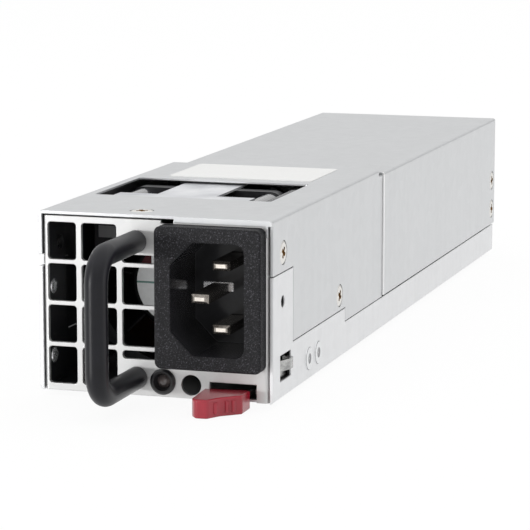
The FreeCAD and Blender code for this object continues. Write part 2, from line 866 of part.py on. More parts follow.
def rear_panel():
    """Vented plate that closes the far end and lets the card edge through."""
    body = new_body("rear_panel")
    left, right = "rear_left + cover_sheet + seam", "rear_right - cover_sheet - seam"
    low, high = "floor_sheet + panel_foot", "rear_top - cover_sheet - seam"
    inner, face = "case_length - rear_flange", "case_length - rear_sheet"
    channel = sketch_on(body, PLAN, low)
    polygon(channel, (left, inner), (f"{left} + rear_sheet", inner), (f"{left} + rear_sheet", face),
            (f"{right} - rear_sheet", face), (f"{right} - rear_sheet", inner), (right, inner),
            (right, "case_length"), (left, "case_length"))
    pad(body, channel, f"{high} - ({low})")

    slot = sketch_on(body, FRONT, f"{face} - 1")
    rectangle(slot, "-edge_width / 2 - seam * 2", "board_under - board_sheet",
              "edge_width / 2 + seam * 2", "board_under - board_sheet + edge_slot")
    pocket(body, slot, "rear_sheet + 2")

    vent = sketch_on(body, FRONT, f"{face} - 1")
    circle(vent, "-(vent_columns - 1) * vent_pitch / 2",
           "rear_top - cover_sheet - vent_pitch - (vent_rows - 1) * vent_pitch", "vent / 2")
    hole = pocket(body, vent, "rear_sheet + 2")
    columns = body.newObject("PartDesign::LinearPattern", "vent_columns_row")
    columns.Direction = (vent, ["H_Axis"])
    rows = body.newObject("PartDesign::LinearPattern", "vent_rows_row")
    rows.Direction = (vent, ["V_Axis"])
    grid = body.newObject("PartDesign::MultiTransform", "vent_grid")
    grid.Originals = [hole]
    grid.Transformations = [columns, rows]
    for pattern, count in ((columns, "vent_columns"), (rows, "vent_rows")):
        pattern.Mode = "Spacing"
        bind(pattern, Offset="vent_pitch", Occurrences=count)
    body.Tip = grid

    # The flanges stop above the board, and the plate steps in between the tray's walls.
    flanges = sketch_on(body, FRONT, f"{inner} - 1")
    rectangle(flanges, f"{left} - 1", "0", f"{right} + 1", "board_top + seam")
    pocket(body, flanges, "rear_flange - rear_sheet + 1")
    step = sketch_on(body, FRONT, f"{inner} - 1")
    rectangle(step, "panel_side", "0", f"{right} + 1", "side_low + seam")
    pocket(body, step, "rear_flange + 2")

    for side in (f"{left} - 1", f"{right} - rear_sheet - 1"):
        threads = sketch_on(body, SIDE, side)
        for number in range(2):
            circle(threads, "case_length - rear_screw_in",
                   f"rear_screw_low + {number} * rear_screw_pitch", "screw / 2 + fit_gap")
        pocket(body, threads, "rear_sheet + 2")
    soften(body, "bend_radius", [((side, "case_length", low), (side, "case_length", high))
                                 for side in (left, right)], UP)
    return keep(body, "rear_panel")


# Handle, inlet and lamp ---------------------------------------------------------------------

def pull_handle():
    """Round bar bent twice, its feet square on the front panel and bored for their screws."""
    body = new_body("pull_handle")
    path = sketch_on(body, SIDE, "handle_x")
    reach, low, high, turn = (value(name) for name in
                              ("handle_reach", "handle_low", "handle_high", "handle_bend"))
    corners = [Vector(0, high, 0), Vector(-reach + turn, high, 0), Vector(-reach, high - turn, 0),
               Vector(-reach, low + turn, 0), Vector(-reach + turn, low, 0), Vector(0, low, 0)]
    legs = [sketch_line(path, corners[0], corners[1]), sketch_line(path, corners[2], corners[3]),
            sketch_line(path, corners[4], corners[5])]
    bends = []
    for centre, first in ((Vector(-reach + turn, high - turn, 0), 1),
                          (Vector(-reach + turn, low + turn, 0), 2)):
        ring = Part.Circle(centre, Vector(0, 0, 1), turn)
        arc = Part.ArcOfCircle(ring, first * math.pi / 2, (first + 1) * math.pi / 2)
        bends.append(path.addGeometry(arc, False))
    tangent = [(legs[0], 2, bends[0], 1), (bends[0], 2, legs[1], 1),
               (legs[1], 2, bends[1], 1), (bends[1], 2, legs[2], 1)]
    for joint in tangent:
        path.addConstraint(Sketcher.Constraint("Tangent", *joint))
    for leg in (legs[0], legs[2]):
        path.addConstraint(Sketcher.Constraint("Horizontal", leg))
    path.addConstraint(Sketcher.Constraint("Vertical", legs[1]))
    path.addConstraint(Sketcher.Constraint("Equal", bends[0], bends[1]))
    fix(path, Sketcher.Constraint("Radius", bends[0], turn), "handle_bend")
    pin(path, legs[0], 1, "0", "handle_high")
    pin(path, legs[2], 2, "0", "handle_low")
    fix(path, Sketcher.Constraint("DistanceX", -1, 1, legs[1], 1, -reach), "-handle_reach")

    section = sketch_on(body, FRONT)
    circle(section, "handle_x", "handle_high", "rod / 2")
    bar = body.newObject("PartDesign::AdditivePipe", "handle_bar")
    bar.Profile = section
    bar.Spine = (path, [])

    bores = sketch_on(body, FRONT, "-handle_bore_depth")
    for z in ("handle_low", "handle_high"):
        circle(bores, "handle_x", z, "screw / 2 + fit_gap")
    pocket(body, bores, "handle_bore_depth + 1")
    return keep(body, "pull_handle")


def sketch_line(sketch, start, end):
    return sketch.addGeometry(Part.LineSegment(start, end), False)


def cap_screw(name, way, seat, head, head_height, grip):
    """A screw whose head rises from its seat against way, and whose shank runs along way."""
    disc = rod(name + "_head", -way, seat, head, head_height)
    shank = rod(name + "_shank", way, seat, "screw / 2", grip)
    return fuse(name, disc, shank)


def handle_screws():
    screws = [cap_screw(f"handle_screw_{name}", AHEAD, ("handle_x", "panel_sheet", f"handle_{name}"),
                        "screw_head / 2", "head_height", "panel_sheet + handle_bore_depth - 1")
              for name in ("low", "high")]
    return keep(group("handle_screws", screws), "handle_screws")


def inlet_housing():
    """Moulded appliance inlet, turned on its side: rim, shell, cavity, blade slots and clips."""
    body = new_body("inlet_housing")
    rim = sketch_on(body, FRONT, "-rim_thickness")
    rounded(rim, "inlet_left", "inlet_z - rim_height / 2", "inlet_x + rim_width / 2",
            "inlet_z + rim_height / 2", "rim_corner")
    pad(body, rim, "rim_thickness")
    shell_left = "inlet_x - socket_width / 2 - shell_side"
    shell_right = "inlet_x + socket_width / 2 + shell_side"
    shell_low = "inlet_z - socket_height / 2 - shell_end"
    shell_high = "inlet_z + socket_height / 2 + shell_end"
    shell = sketch_on(body, FRONT)
    rounded(shell, shell_left, shell_low, shell_right, shell_high, "rim_corner")
    pad(body, shell, "inlet_rear")

    clips = sketch_on(body, SIDE, "inlet_x - clip_width / 2")
    polygon(clips, ("panel_sheet + fit_gap", shell_high),
            ("panel_sheet + fit_gap + clip_length", shell_high),
            ("panel_sheet + fit_gap", f"{shell_high} + clip_height"))
    polygon(clips, ("panel_sheet + fit_gap", shell_low),
            ("panel_sheet + fit_gap", f"{shell_low} - clip_height"),
            ("panel_sheet + fit_gap + clip_length", shell_low))
    pad(body, clips, "clip_width")

    left, right = "inlet_x - socket_width / 2", "inlet_x + socket_width / 2"
    low, high = "inlet_z - socket_height / 2", "inlet_z + socket_height / 2"
    cavity = sketch_on(body, FRONT, "-rim_thickness")
    polygon(cavity, (f"{left} + socket_chamfer", low), (right, low), (right, high),
            (f"{left} + socket_chamfer", high), (left, f"{high} - socket_chamfer"),
            (left, f"{low} + socket_chamfer"))
    pocket(body, cavity, "socket_depth")
    soften(body, "socket_corner", [((right, "-rim_thickness", low), (right, "socket_floor", high))],
           BACK)
    soften(body, "socket_corner / 2", [((left, "-rim_thickness", low),
                                        (f"{left} + socket_chamfer", "socket_floor", high))], BACK)
    rim_low = "inlet_z - rim_height / 2"
    soften(body, "rim_edge", [(("inlet_left", "-rim_thickness", rim_low),
                               ("inlet_x + rim_width / 2", "-rim_thickness", rim_low))])

    slots = sketch_on(body, FRONT, "socket_floor - 1")
    for x, z in (("blade_x", "inlet_z + blade_spacing / 2"),
                 ("blade_x", "inlet_z - blade_spacing / 2"), ("earth_x", "inlet_z")):
        rectangle(slots, f"{x} - blade_width / 2", f"{z} - blade_thickness / 2",
                  f"{x} + blade_width / 2", f"{z} + blade_thickness / 2")
    pocket(body, slots, "shell_back + 2")
    return keep(body, "inlet_housing")


def blade(label, x, z, recess):
    """One contact blade with a bevelled tip and a narrow solder tail through the inlet board."""
    body = new_body(label)
    tip = f"-rim_thickness + {recess}"
    flat = sketch_on(body, FRONT, tip)
    rectangle(flat, f"{x} - blade_width / 2", f"{z} - blade_thickness / 2",
              f"{x} + blade_width / 2", f"{z} + blade_thickness / 2")
    pad(body, flat, f"inlet_rear + 1 - ({tip})")
    tail = sketch_on(body, FRONT, "inlet_rear")
    rectangle(tail, f"{x} - solder_width / 2", f"{z} - solder_thickness / 2",
              f"{x} + solder_width / 2", f"{z} + solder_thickness / 2")
    pad(body, tail, "inlet_board_back + 1 - inlet_rear")
    soften(body, "blade_thickness / 4",
           [((f"{x} - blade_width / 2", tip, f"{z} - blade_thickness"),
             (f"{x} + blade_width / 2", tip, f"{z} + blade_thickness"))], kind="Chamfer")
    return keep(body, label)


def status_lamp():
    """Lamp bezel with an inward cone and the lens at its foot, turned about the lamp's axis."""
    bezel = new_body("lamp_bezel")
    outline = sketch_on(bezel, PLAN)
    polygon(outline, ("lens / 2", "lens_depth"), ("bezel / 2 - bezel_lip", "-bezel_height"),
            ("bezel / 2 - bezel_lip / 2", "-bezel_height"), ("bezel / 2", "-bezel_height / 2"),
            ("bezel / 2", "0"), ("barrel / 2", "0"), ("barrel / 2", "barrel_length"),
            ("lens / 2", "barrel_length"))
    revolve(bezel, outline)
    place(bezel, "lamp_x", "0", "lamp_z")
    keep(bezel, "lamp_bezel")
    lens = new_body("lamp_lens")
    outline = sketch_on(lens, PLAN)
    polygon(outline, ("0", "lens_depth - 0.6"), ("lens / 4", "lens_depth - 0.5"),
            ("lens / 2 - fit_gap", "lens_depth"), ("lens / 2 - fit_gap", "barrel_length"),
            ("0", "barrel_length"))
    revolve(lens, outline)
    place(lens, "lamp_x", "0", "lamp_z")
    keep(lens, "lamp_lens")


# Release latch ------------------------------------------------------------------------------

def latch_spring():
    """Riveted root of the spring strip, flat on the inside of the right wall."""
    body = new_body("latch_spring")
    flat = sketch_on(body, SIDE, "wall_inside - strip")
    rounded(flat, "spring_start", "strip_low", "spring_start + spring_length", "strip_high",
            "strip")
    for number in range(2):
        circle(flat, f"rivet_one + {number} * rivet_pitch", "rivet_z", "rivet_shank / 2 + fit_gap")
    pad(body, flat, "strip")
    return keep(body, "latch_spring")


def rivet(name, way, start, length, tail="rivet_shank * 1.5"):
    """A low-headed rivet: head outside, shank through the sheets, upset tail inside."""
    head = rod(name + "_head", -way, start, "rivet_head / 2", "rivet_height")
    shank = rod(name + "_shank", way, start, "rivet_shank / 2", length)
    reach = f"({start[0]}) {'+' if way.x > 0 else '-'} ({length})"
    upset = rod(name + "_tail", way, (reach,) + tuple(start[1:]), f"({tail}) / 2", "0.5")
    return fuse(name, head, shank, upset)


def latch_rivets():
    rivets = [rivet(f"latch_rivet_{number}", LEFT,
                    ("half", f"rivet_one + {number} * rivet_pitch", "rivet_z"),
                    "floor_sheet + strip") for number in range(2)]
    return keep(group("latch_rivets", rivets), "latch_rivets")


def panel_rivets():
    rivets = [rivet(f"panel_rivet_{number}", RIGHT,
                    ("-half", "panel_rivet_y", f"panel_rivet_low + {number} * panel_rivet_pitch"),
                    "floor_sheet + seam + panel_sheet", "panel_rivet_tail") for number in range(2)]
    return keep(group("panel_rivets", rivets), "panel_rivets")


def latch_arm():
    """Free end of the spring strip: catch nose in the side window, stem out through the notch."""
    body = new_body("latch_arm")
    plan = sketch_on(body, PLAN, "strip_foot")
    near, far = "window_start", "window_start + window_length"
    stem = "notch_left + notch_width - 1.7"
    polygon(plan, ("strip_face", "root_y"), ("strip_face", f"{far} - 0.2"),
            ("nose_x - 0.3", f"{far} - 0.8"), ("nose_x", f"{far} - 1.4"),
            ("nose_x", f"{far} - 3.4"), ("half - 0.4", f"{near} + 0.9"),
            ("strip_face - 0.4", f"{near} - 0.6"), (f"{stem} + 0.5", "panel_sheet + 2.2"),
            (stem, "panel_sheet + 1.6"), (stem, "-4.5"), (f"{stem} - strip", "-4.5"),
            (f"{stem} - strip", "panel_sheet + 2.4"), ("strip_face - 1.2", f"{near} - 0.2"),
            ("half - 1.1", f"{near} + 1.3"), ("nose_x - strip", f"{far} - 3.3"),
            ("nose_x - strip", f"{far} - 1.6"), ("strip_face - strip", f"{far} - 0.9"),
            ("strip_face - strip", "root_y"))
    pad(body, plan, "nose_high - strip_foot")

    def trim(low_y, low_z, high_y, high_z, from_x="0"):
        area = sketch_on(body, SIDE, from_x)
        rectangle(area, low_y, low_z, high_y, high_z)
        pocket(body, area, "front_width")

    trim("-6", "stem_high", f"{near} - 1.2", "nose_high + 1")
    trim(far, "strip_high", "root_y + 1", "nose_high + 1")
    trim(far, "0", "root_y + 1", "strip_low")
    trim(near, "0", f"{far} + 0.01", "nose_low", "strip_face")

    # The nose is lanced out of the strip, which runs on straight below it.
    backing = sketch_on(body, SIDE, "strip_face - strip")
    rectangle(backing, f"{near} - 0.6", "strip_low", f"{far} + 0.5", "nose_low + 0.2")
    pad(body, backing, "strip")
    return keep(body, "latch_arm")


def release_tab():
    """Finger tab moulded on the stem: round nose, hollowed push face and three grip ribs."""
    body = new_body("release_tab")
    outline = sketch_on(body, PLAN, "latch_foot")
    right, left = "notch_left + notch_width - 1.3", "notch_left - 0.7"
    hollow = ("notch_left + 5.7", "-9.4")
    corners = [(right, "-0.8"), (right, "-6.1"), hollow, ("notch_left + 3.7", "-12.8"),
               ("notch_left + 1.0", "-13.0"), ("notch_left - 0.2", "-11.4"), (left, "-1.7")]
    polygon(outline, *corners)
    pad(body, outline, "latch_height")
    for (x, y), radius in zip(corners[1:6], ("latch_round / 2", "latch_round * 3",
                                             "latch_round", "latch_round", "latch_round")):
        soften(body, radius, [((x, y, "latch_foot"), (x, y, "latch_foot + latch_height"))], UP)
    for level in ("latch_foot + latch_height", "latch_foot"):
        soften(body, "latch_edge", [((f"{left} - 1", "-14", level), (f"{right} + 1", "-0.9", level))])

    ribs = sketch_on(body, PLAN, "latch_foot + rib_inset")
    for x, y in (("notch_left + 4.9", "-10.8"), ("notch_left + 6.7", "-8.5"),
                 ("notch_left + 7.9", "-7.45")):
        circle(ribs, x, y, "rib / 2")
    pad(body, ribs, "latch_height - 2 * rib_inset")

    socket = sketch_on(body, PLAN, "strip_foot")
    stem = "notch_left + notch_width - 1.7"
    rectangle(socket, f"{stem} - strip", "-4.5", stem, "0")
    pocket(body, socket, "stem_high - strip_foot")
    return keep(body, "release_tab")


# Fan ----------------------------------------------------------------------------------------

def fan_frame():
    """Square-flanged fan housing: barrel, corner holes, rear struts and bearing tube."""
    body = new_body("fan_frame")
    half_fan = "fan_size / 2"
    for start in ("0", "fan_depth - fan_flange"):
        flange = sketch_on(body, FRONT, start)
        rounded(flange, f"-{half_fan}", f"-{half_fan}", half_fan, half_fan, "fan_corner")
        if start == "0":
            pad(body, flange, "fan_flange")
            barrel = sketch_on(body, FRONT, start)
            circle(barrel, "0", "0", "fan_bore / 2 + fan_wall")
            pad(body, barrel, "fan_depth")
        else:
            pad(body, flange, "fan_flange")
    bore = sketch_on(body, FRONT, "-1")
    circle(bore, "0", "0", "fan_bore / 2")
    pocket(body, bore, "fan_depth + 2")
    corner = sketch_on(body, FRONT, "-1")
    for across in ("-1", "1"):
        for up in ("-1", "1"):
            circle(corner, f"{across} * fan_hole_pitch / 2", f"{up} * fan_hole_pitch / 2",
                   "fan_hole / 2")
    pocket(body, corner, "fan_depth + 2")

    seat = sketch_on(body, FRONT, "fan_depth - strut_depth")
    circle(seat, "0", "0", "motor_seat / 2")
    pad(body, seat, "strut_depth")
    arm = sketch_on(body, FRONT, "fan_depth - strut_depth")
    rectangle(arm, "-strut / 2", "bearing_tube / 2", "strut / 2", "fan_bore / 2 + fan_wall / 2")
    spoke = pad(body, arm, "strut_depth")
    ring_of(body, spoke, arm, "N_Axis", "strut_count")
    tube_sketch = sketch_on(body, FRONT, "fan_depth - tube_length")
    circle(tube_sketch, "0", "0", "bearing_tube / 2")
    pad(body, tube_sketch, "tube_length - strut_depth")
    bearing_bore = sketch_on(body, FRONT, "fan_depth - tube_length - 1")
    circle(bearing_bore, "0", "0", "bearing / 2")
    pocket(body, bearing_bore, "tube_length")
    place(body, "fan_x", "fan_y", "fan_z")
    return keep(body, "fan_frame")


def fan_rotor():
    """Hub cup with twisted, cambered blades, trimmed to a running gap in the barrel."""
    body = new_body("fan_rotor")
    cup = sketch_on(body, PLAN)
    polygon(cup, ("fan_shaft / 2", "hub_front"), ("hub / 2 - 0.8", "hub_front"),
            ("hub / 2", "hub_front + 0.8"), ("hub / 2", "hub_front + hub_length"),
            ("hub / 2 - hub_wall", "hub_front + hub_length"),
            ("hub / 2 - hub_wall", "hub_front + hub_wall"),
            ("fan_shaft / 2", "hub_front + hub_wall"))
    revolve(body, cup)

    def section(at, reach, slant, camber):
        outline = sketch_on(body, SIDE, at)
        front, rear = "hub_front + 1.5", f"hub_front + {reach}"
        middle = f"hub_front + 1.5 + ({reach} - 1.5) * 0.45"
        thick = "fan_blade / 2"
        return polygon(outline, (front, f"{slant}"), (middle, f"{camber} + {thick}"),
                       (rear, f"-{slant} + {thick}"), (rear, f"-{slant} - {thick}"),
                       (middle, f"{camber} - {thick}"), (front, f"{slant} - {thick} * 0.8"))

    root = section("hub / 2 - hub_wall * 0.75", "17.5", "3.6", "1.0")
    tip = section("fan_bore / 2", "16.5", "6.2", "1.8")
    vane = body.newObject("PartDesign::AdditiveLoft", "fan_vane")
    vane.Profile = root
    vane.Sections = [(tip, [""])]
    vane.Ruled = True
    ring_of(body, vane, cup, "V_Axis", "blade_count")

    rim = sketch_on(body, PLAN)
    rectangle(rim, "fan_bore / 2 - tip_gap", "0", "fan_bore / 2 + 8", "fan_depth")
    revolve(body, rim, cut=True)
    place(body, "fan_x", "fan_y", "fan_z")
    return keep(body, "fan_rotor")


def fan_small_parts():
    """Hub label, shaft, bearings, stator coil and the pieces around the fan."""
    centre = ("fan_x", "hub_face - label_thickness", "fan_z")
    keep(rod("fan_hub_label", BACK, centre, "hub_label / 2", "label_thickness"), "fan_hub_label")
    keep(rod("fan_shaft_rod", BACK, ("fan_x", "hub_face", "fan_z"), "fan_shaft / 2",
             "fan_depth - hub_front - strut_depth / 2"), "fan_shaft")
    tube_start = "fan_rear - tube_length"
    rings = []
    for name, start in (("front", tube_start), ("rear", "fan_rear - strut_depth - bearing_width")):
        ring = rod(f"bearing_{name}_ring", BACK, ("fan_x", start, "fan_z"), "bearing / 2",
                   "bearing_width")
        hole = rod(f"bearing_{name}_hole", BACK, ("fan_x", start, "fan_z"),
                   "fan_shaft / 2 + fit_gap", "bearing_width")
        rings.append(cut(f"bearing_{name}", ring, hole))
    keep(group("fan_bearings", rings), "fan_bearings")

    coil = new_body("fan_stator")
    outline = sketch_on(coil, PLAN)
    inner = "bearing_tube / 2 + fit_gap"
    polygon(outline, (inner, "0"), ("coil / 2 - coil_edge", "0"),
            ("coil / 2", "coil_edge"), ("coil / 2", "coil_length - coil_edge"),
            ("coil / 2 - coil_edge", "coil_length"), (inner, "coil_length"))
    revolve(coil, outline)
    place(coil, "fan_x", "fan_rear - tube_length + coil_edge", "fan_z")
    keep(coil, "fan_stator")

    strap = new_body("fan_strap")
    plan = sketch_on(strap, PLAN, "fan_top")
    bar_left, bar_right = "fan_x - strap_bar / 2", "fan_x + strap_bar / 2"
    left, right = "fan_x - strap_width / 2", "fan_x + strap_width / 2"
    bar_end, rear = "fan_y + strap_bar_length", "fan_rear + strap_tail"
    polygon(plan, (bar_left, "fan_y"), (bar_right, "fan_y"), (bar_right, bar_end),
            (right, bar_end), (right, rear), (left, rear), (left, bar_end), (bar_left, bar_end))
    pad(strap, plan, "strap_sheet")
    keep(strap, "fan_strap")

    keep(tube("fan_lead", (("lead_x", "fan_y + 1", "lead_z"),
                           ("lead_x", "board_start + lead / 2", "lead_z"),
                           ("lead_x", "board_start + lead / 2", "board_top")),
              "lead / 2", "lead_bend"), "fan_lead")
    keep(block("air_baffle_sheet",
               ("fan_right", "fan_y", "floor_sheet"),
               ("fan_right + baffle_sheet", "fan_rear + 1", "floor_sheet + baffle_height")),
         "air_baffle")


# Boards and power parts ---------------------------------------------------------------------

STANDOFFS = (("board_left + standoff", "board_start + standoff_front"),
             ("board_right - standoff", "board_start + standoff_front"),
             ("board_left + standoff", "board_end - standoff * 2"),
             ("board_right - standoff", "board_end - standoff * 2"))


def main_board():
    """Main circuit board with its tongue, and what carries and fastens it."""
    body = new_body("main_board")
    outline = sketch_on(body, PLAN, "board_under")
    polygon(outline, ("board_left", "board_start"), ("board_right", "board_start"),
            ("board_right", "board_end"), ("edge_width / 2", "board_end"),
            ("edge_width / 2", "case_length + edge_length"),
            ("-edge_width / 2", "case_length + edge_length"),
            ("-edge_width / 2", "board_end"), ("board_left", "board_end"))
    pad(body, outline, "board_sheet")
    holes = sketch_on(body, PLAN, "board_under - 1")
    for x, y in STANDOFFS:
        circle(holes, x, y, "screw / 2 + fit_gap")
    pocket(body, holes, "board_sheet + 2")
    keep(body, "main_board")

    posts, screws = [], []
    for number, (x, y) in enumerate(STANDOFFS):
        post = rod(f"post_{number}", UP, (x, y, "floor_sheet"), "standoff / 2", "board_lift")
        bore = rod(f"post_bore_{number}", UP, (x, y, "floor_sheet"), "screw / 2 + fit_gap",
                   "board_lift")
        posts.append(cut(f"standoff_{number}", post, bore))
        screws.append(cap_screw(f"board_screw_{number}", DOWN, (x, y, "board_top"),
                                "screw_head / 2", "head_height", "board_sheet + board_lift - 0.4"))
    keep(group("board_standoffs", posts), "board_standoffs")
    keep(group("board_screws", screws), "board_screws")

    film = new_body("insulation_sheet")
    outline = sketch_on(film, PLAN, "floor_sheet")
    rounded(outline, "board_left + 1", "board_start", "board_right - 1", "board_end - 1", "2")
    for x, y in STANDOFFS:
        circle(outline, x, y, "standoff / 2 + seam")
    pad(film, outline, "film")
    keep(film, "insulation_sheet")


def edge_contacts():
    """Gold fingers on both faces of the tongue: wide power ones outside, signals between."""
    pieces = []
    signal_half = "((signal_count - 1) * signal_pitch + signal_contact) / 2"
    for face, low in (("top", "board_top"), ("under", "board_under - contact")):
        spans = []
        for number in range(int(value("power_count"))):
            inner = f"{signal_half} + contact_gap + {number} * (power_contact + contact_gap)"
            spans += [(inner, f"{inner} + power_contact"),
                      (f"-({inner} + power_contact)", f"-({inner})")]
        for number in range(int(value("signal_count"))):
            left = f"-({signal_half}) + {number} * signal_pitch"
            spans.append((left, f"{left} + signal_contact"))
        for number, (left, right) in enumerate(spans):
            front = "case_length + edge_length - contact_length - 0.8"
            pieces.append(block(f"contact_{face}_{number}", (left, front, low),
                                (right, f"{front} + contact_length", f"{low} + contact")))
    return keep(group("edge_contacts", pieces), "edge_contacts")


def inlet_board():
    """Small board on the inlet's solder tails, with the filter choke, fuse and wires behind."""
    body = new_body("inlet_board")
    face = sketch_on(body, FRONT, "inlet_board_y")
    rectangle(face, "inlet_left + 1", "inlet_z - inlet_board_height / 2",
              "inlet_x + socket_width / 2 + shell_side", "inlet_z + inlet_board_height / 2")
    pad(body, face, "board_sheet")
    slots = sketch_on(body, FRONT, "inlet_board_y - 1")
    for x, z in (("blade_x", "inlet_z + blade_spacing / 2"),
                 ("blade_x", "inlet_z - blade_spacing / 2"), ("earth_x", "inlet_z")):
        rectangle(slots, f"{x} - solder_width / 2 - fit_gap", f"{z} - solder_thickness / 2 - fit_gap",
                  f"{x} + solder_width / 2 + fit_gap", f"{z} + solder_thickness / 2 + fit_gap")
    pocket(body, slots, "board_sheet + 2")
    keep(body, "inlet_board")

    core = new_body("filter_choke")
    ring = sketch_on(core, PLAN)
    polygon(ring, ("filter_inner / 2", "1"), ("filter_inner / 2 + 1", "0"),
            ("filter_outer / 2 - 1.5", "0"), ("filter_outer / 2", "1.5"),
            ("filter_outer / 2", "filter_height - 1.5"),
            ("filter_outer / 2 - 1.5", "filter_height"),
            ("filter_inner / 2 + 1", "filter_height"), ("filter_inner / 2", "filter_height - 1"))
    revolve(core, ring)
    place(core, "inlet_x + filter_step", "inlet_board_back + solder_gap", "inlet_z")
    keep(core, "filter_choke")

    wires = []
    high = "inlet_z - blade_spacing / 2 - wire_drop"
    landing = "board_start + wire_landing"
    for number in range(2):
        x = f"wire_x - {number} * wire_step"
        wires.append(tube(f"inlet_wire_{number}",
                          ((x, "inlet_board_back + fit_gap", high), (x, landing, high),
                           (x, landing, "board_top")), "wire / 2", "wire_bend"))
    return keep(group("inlet_wires", wires), "inlet_wires")


def filter_parts():
    """Fuse and suppression capacitor on the main board's front edge."""
    case = new_body("filter_capacitor")
    plan = sketch_on(case, PLAN, "seated")
    rounded(plan, "cap_x - cap_width / 2", "cap_y + 5", "cap_x + cap_width / 2",
            "cap_y + 5 + cap_length", "1")
    pad(case, plan, "cap_height")
    keep(case, "filter_capacitor")
    body = new_body("input_fuse")
    outline = sketch_on(body, PLAN)
    polygon(outline, ("0", "0"), ("fuse / 2 + 0.2", "0"), ("fuse / 2 + 0.2", "5"), ("fuse / 2", "5"),
            ("fuse / 2", "fuse_length - 5"), ("fuse / 2 + 0.2", "fuse_length - 5"),
            ("fuse / 2 + 0.2", "fuse_length"), ("0", "fuse_length"))
    revolve(body, outline)
    place(body, "fuse_x", "cap_y + 7.8", "seated + fuse / 2 + 0.2")
    keep(body, "input_fuse")


def boost_choke():
    """Wound ring choke, its turns as ribs round the ring."""
    body = new_body("boost_choke")
    ring = sketch_on(body, FRONT)
    polygon(ring, ("choke_hole / 2 + 1.5", "1"), ("choke / 2 - 1", "1"), ("choke / 2 - 1", "choke_height - 1"),
            ("choke_hole / 2 + 1.5", "choke_height - 1"))
    revolve(body, ring)
    turn = sketch_on(body, FRONT, "-0.8")
    rectangle(turn, "choke_hole / 2", "0", "choke / 2", "choke_height")
    wound = pad(body, turn, "1.6")
    ring_of(body, wound, ring, "V_Axis", "choke_turns")
    place(body, "choke_x", "choke_y", "seated")
    return keep(body, "boost_choke")


def bulk_capacitor():
    """Large can lying along the board, with its crimp groove and rounded ends."""
    body = new_body("bulk_capacitor")
    outline = sketch_on(body, PLAN)
    polygon(outline, ("0", "0.8"), ("can / 2 - can_edge", "0.8"), ("can / 2 - can_edge", "0"),
            ("can / 2", "can_edge / 2"), ("can / 2", "4"), ("can / 2 - 1", "5"), ("can / 2", "6"),
            ("can / 2", "can_length - can_edge"), ("can / 2 - can_edge", "can_length"),
            ("0", "can_length"))
    revolve(body, outline)
    place(body, "can_x", "can_y", "seated + can / 2")
    return keep(body, "bulk_capacitor")


def heatsink(label, x, y, length, height):
    """Extruded finned bar: base plate with fins towards +X."""
    body = new_body(label)
    plate = sketch_on(body, PLAN, "board_top")
    rectangle(plate, x, y, f"{x} + sink_base", f"{y} + {length}")
    pad(body, plate, height)
    fin = sketch_on(body, PLAN, "board_top")
    rectangle(fin, f"{x} + sink_base", y, f"{x} + sink_base + fin_reach", f"{y} + fin")
    rib = pad(body, fin, height)
    row_of(body, rib, fin, "V_Axis", f"({length} - fin) / (fin_count - 1)", "fin_count")
    return keep(body, label)


def transistors(label, x, y, count):
    """Flat power packages on the heatsink's face, each on three legs from the board."""
    pieces = []
    for number in range(count):
        near = f"{y} + package_start + {number} * package_pitch"
        low = "board_top + package_lift"
        shell = block(f"{label}_case_{number}", (f"{x} - package_thickness", near, low),
                      (x, f"{near} + package_width", f"{low} + package_height"))
        legs = [block(f"{label}_leg_{number}_{leg}",
                      (f"{x} - package_thickness / 2 - leg / 2",
                       f"{near} + package_width * {0.25 * (leg + 1)} - leg / 2", "board_top"),
                      (f"{x} - package_thickness / 2 + leg / 2",
                       f"{near} + package_width * {0.25 * (leg + 1)} + leg / 2", low))
                for leg in range(3)]
        pieces.append(fuse(f"{label}_{number}", shell, *legs))
    return keep(group(label, pieces), label)


def transformer():
    """Double-E core standing on the board, its winding round the middle leg."""
    low, high = "seated", "seated + core_height"
    left, right = "core_x - core_width / 2", "core_x + core_width / 2"
    core = new_body("transformer_core")
    face = sketch_on(core, FRONT, "core_y")
    rectangle(face, left, low, right, high)
    for inner, outer in ((f"{left} + core_yoke", "core_x - core_leg / 2"),
                         ("core_x + core_leg / 2", f"{right} - core_yoke")):
        rectangle(face, inner, f"{low} + core_yoke", outer, f"{high} - core_yoke")
    pad(core, face, "core_depth")
    keep(core, "transformer_core")

    winding = new_body("transformer_winding")
    plan = sketch_on(winding, PLAN, f"{low} + core_yoke + winding_gap")
    rounded(plan, f"{left} + core_yoke + winding_gap", "core_y - winding_swell",
            f"{right} - core_yoke - winding_gap", "core_y + core_depth + winding_swell", "4")
    rectangle(plan, "core_x - core_leg / 2 - winding_gap", "core_y - winding_gap",
              "core_x + core_leg / 2 + winding_gap", "core_y + core_depth + winding_gap")
    pad(winding, plan, "core_height - 2 * core_yoke - 2 * winding_gap")
    keep(winding, "transformer_winding")


def output_capacitors():
    cans = []
    for across in range(int(value("small_can_columns"))):
        for along in range(int(value("small_can_rows"))):
            cans.append(rod(f"small_can_{across}_{along}", UP,
                            (f"small_can_x + {across} * small_can_pitch",
                             f"small_can_y + {along} * small_can_pitch", "seated"),
                            "small_can / 2", "small_can_height"))
    return keep(group("output_capacitors", cans), "output_capacitors")


def control_board():
    """Upright control card with two chips on its face."""
    body = new_body("control_board")
    card = sketch_on(body, SIDE, "card_x")
    rectangle(card, "card_y", "board_top", "card_y + card_length", "board_top + card_height")
    pad(body, card, "board_sheet")
    chips = sketch_on(body, SIDE, "card_x + board_sheet")
    for number in range(2):
        near = f"card_y + 4 + {number} * (chip + 6)"
        rectangle(chips, near, "board_top + 9", f"{near} + chip", "board_top + 9 + chip")
    pad(body, chips, "chip_height")
    return keep(body, "control_board")


# Fasteners and labels -----------------------------------------------------------------------

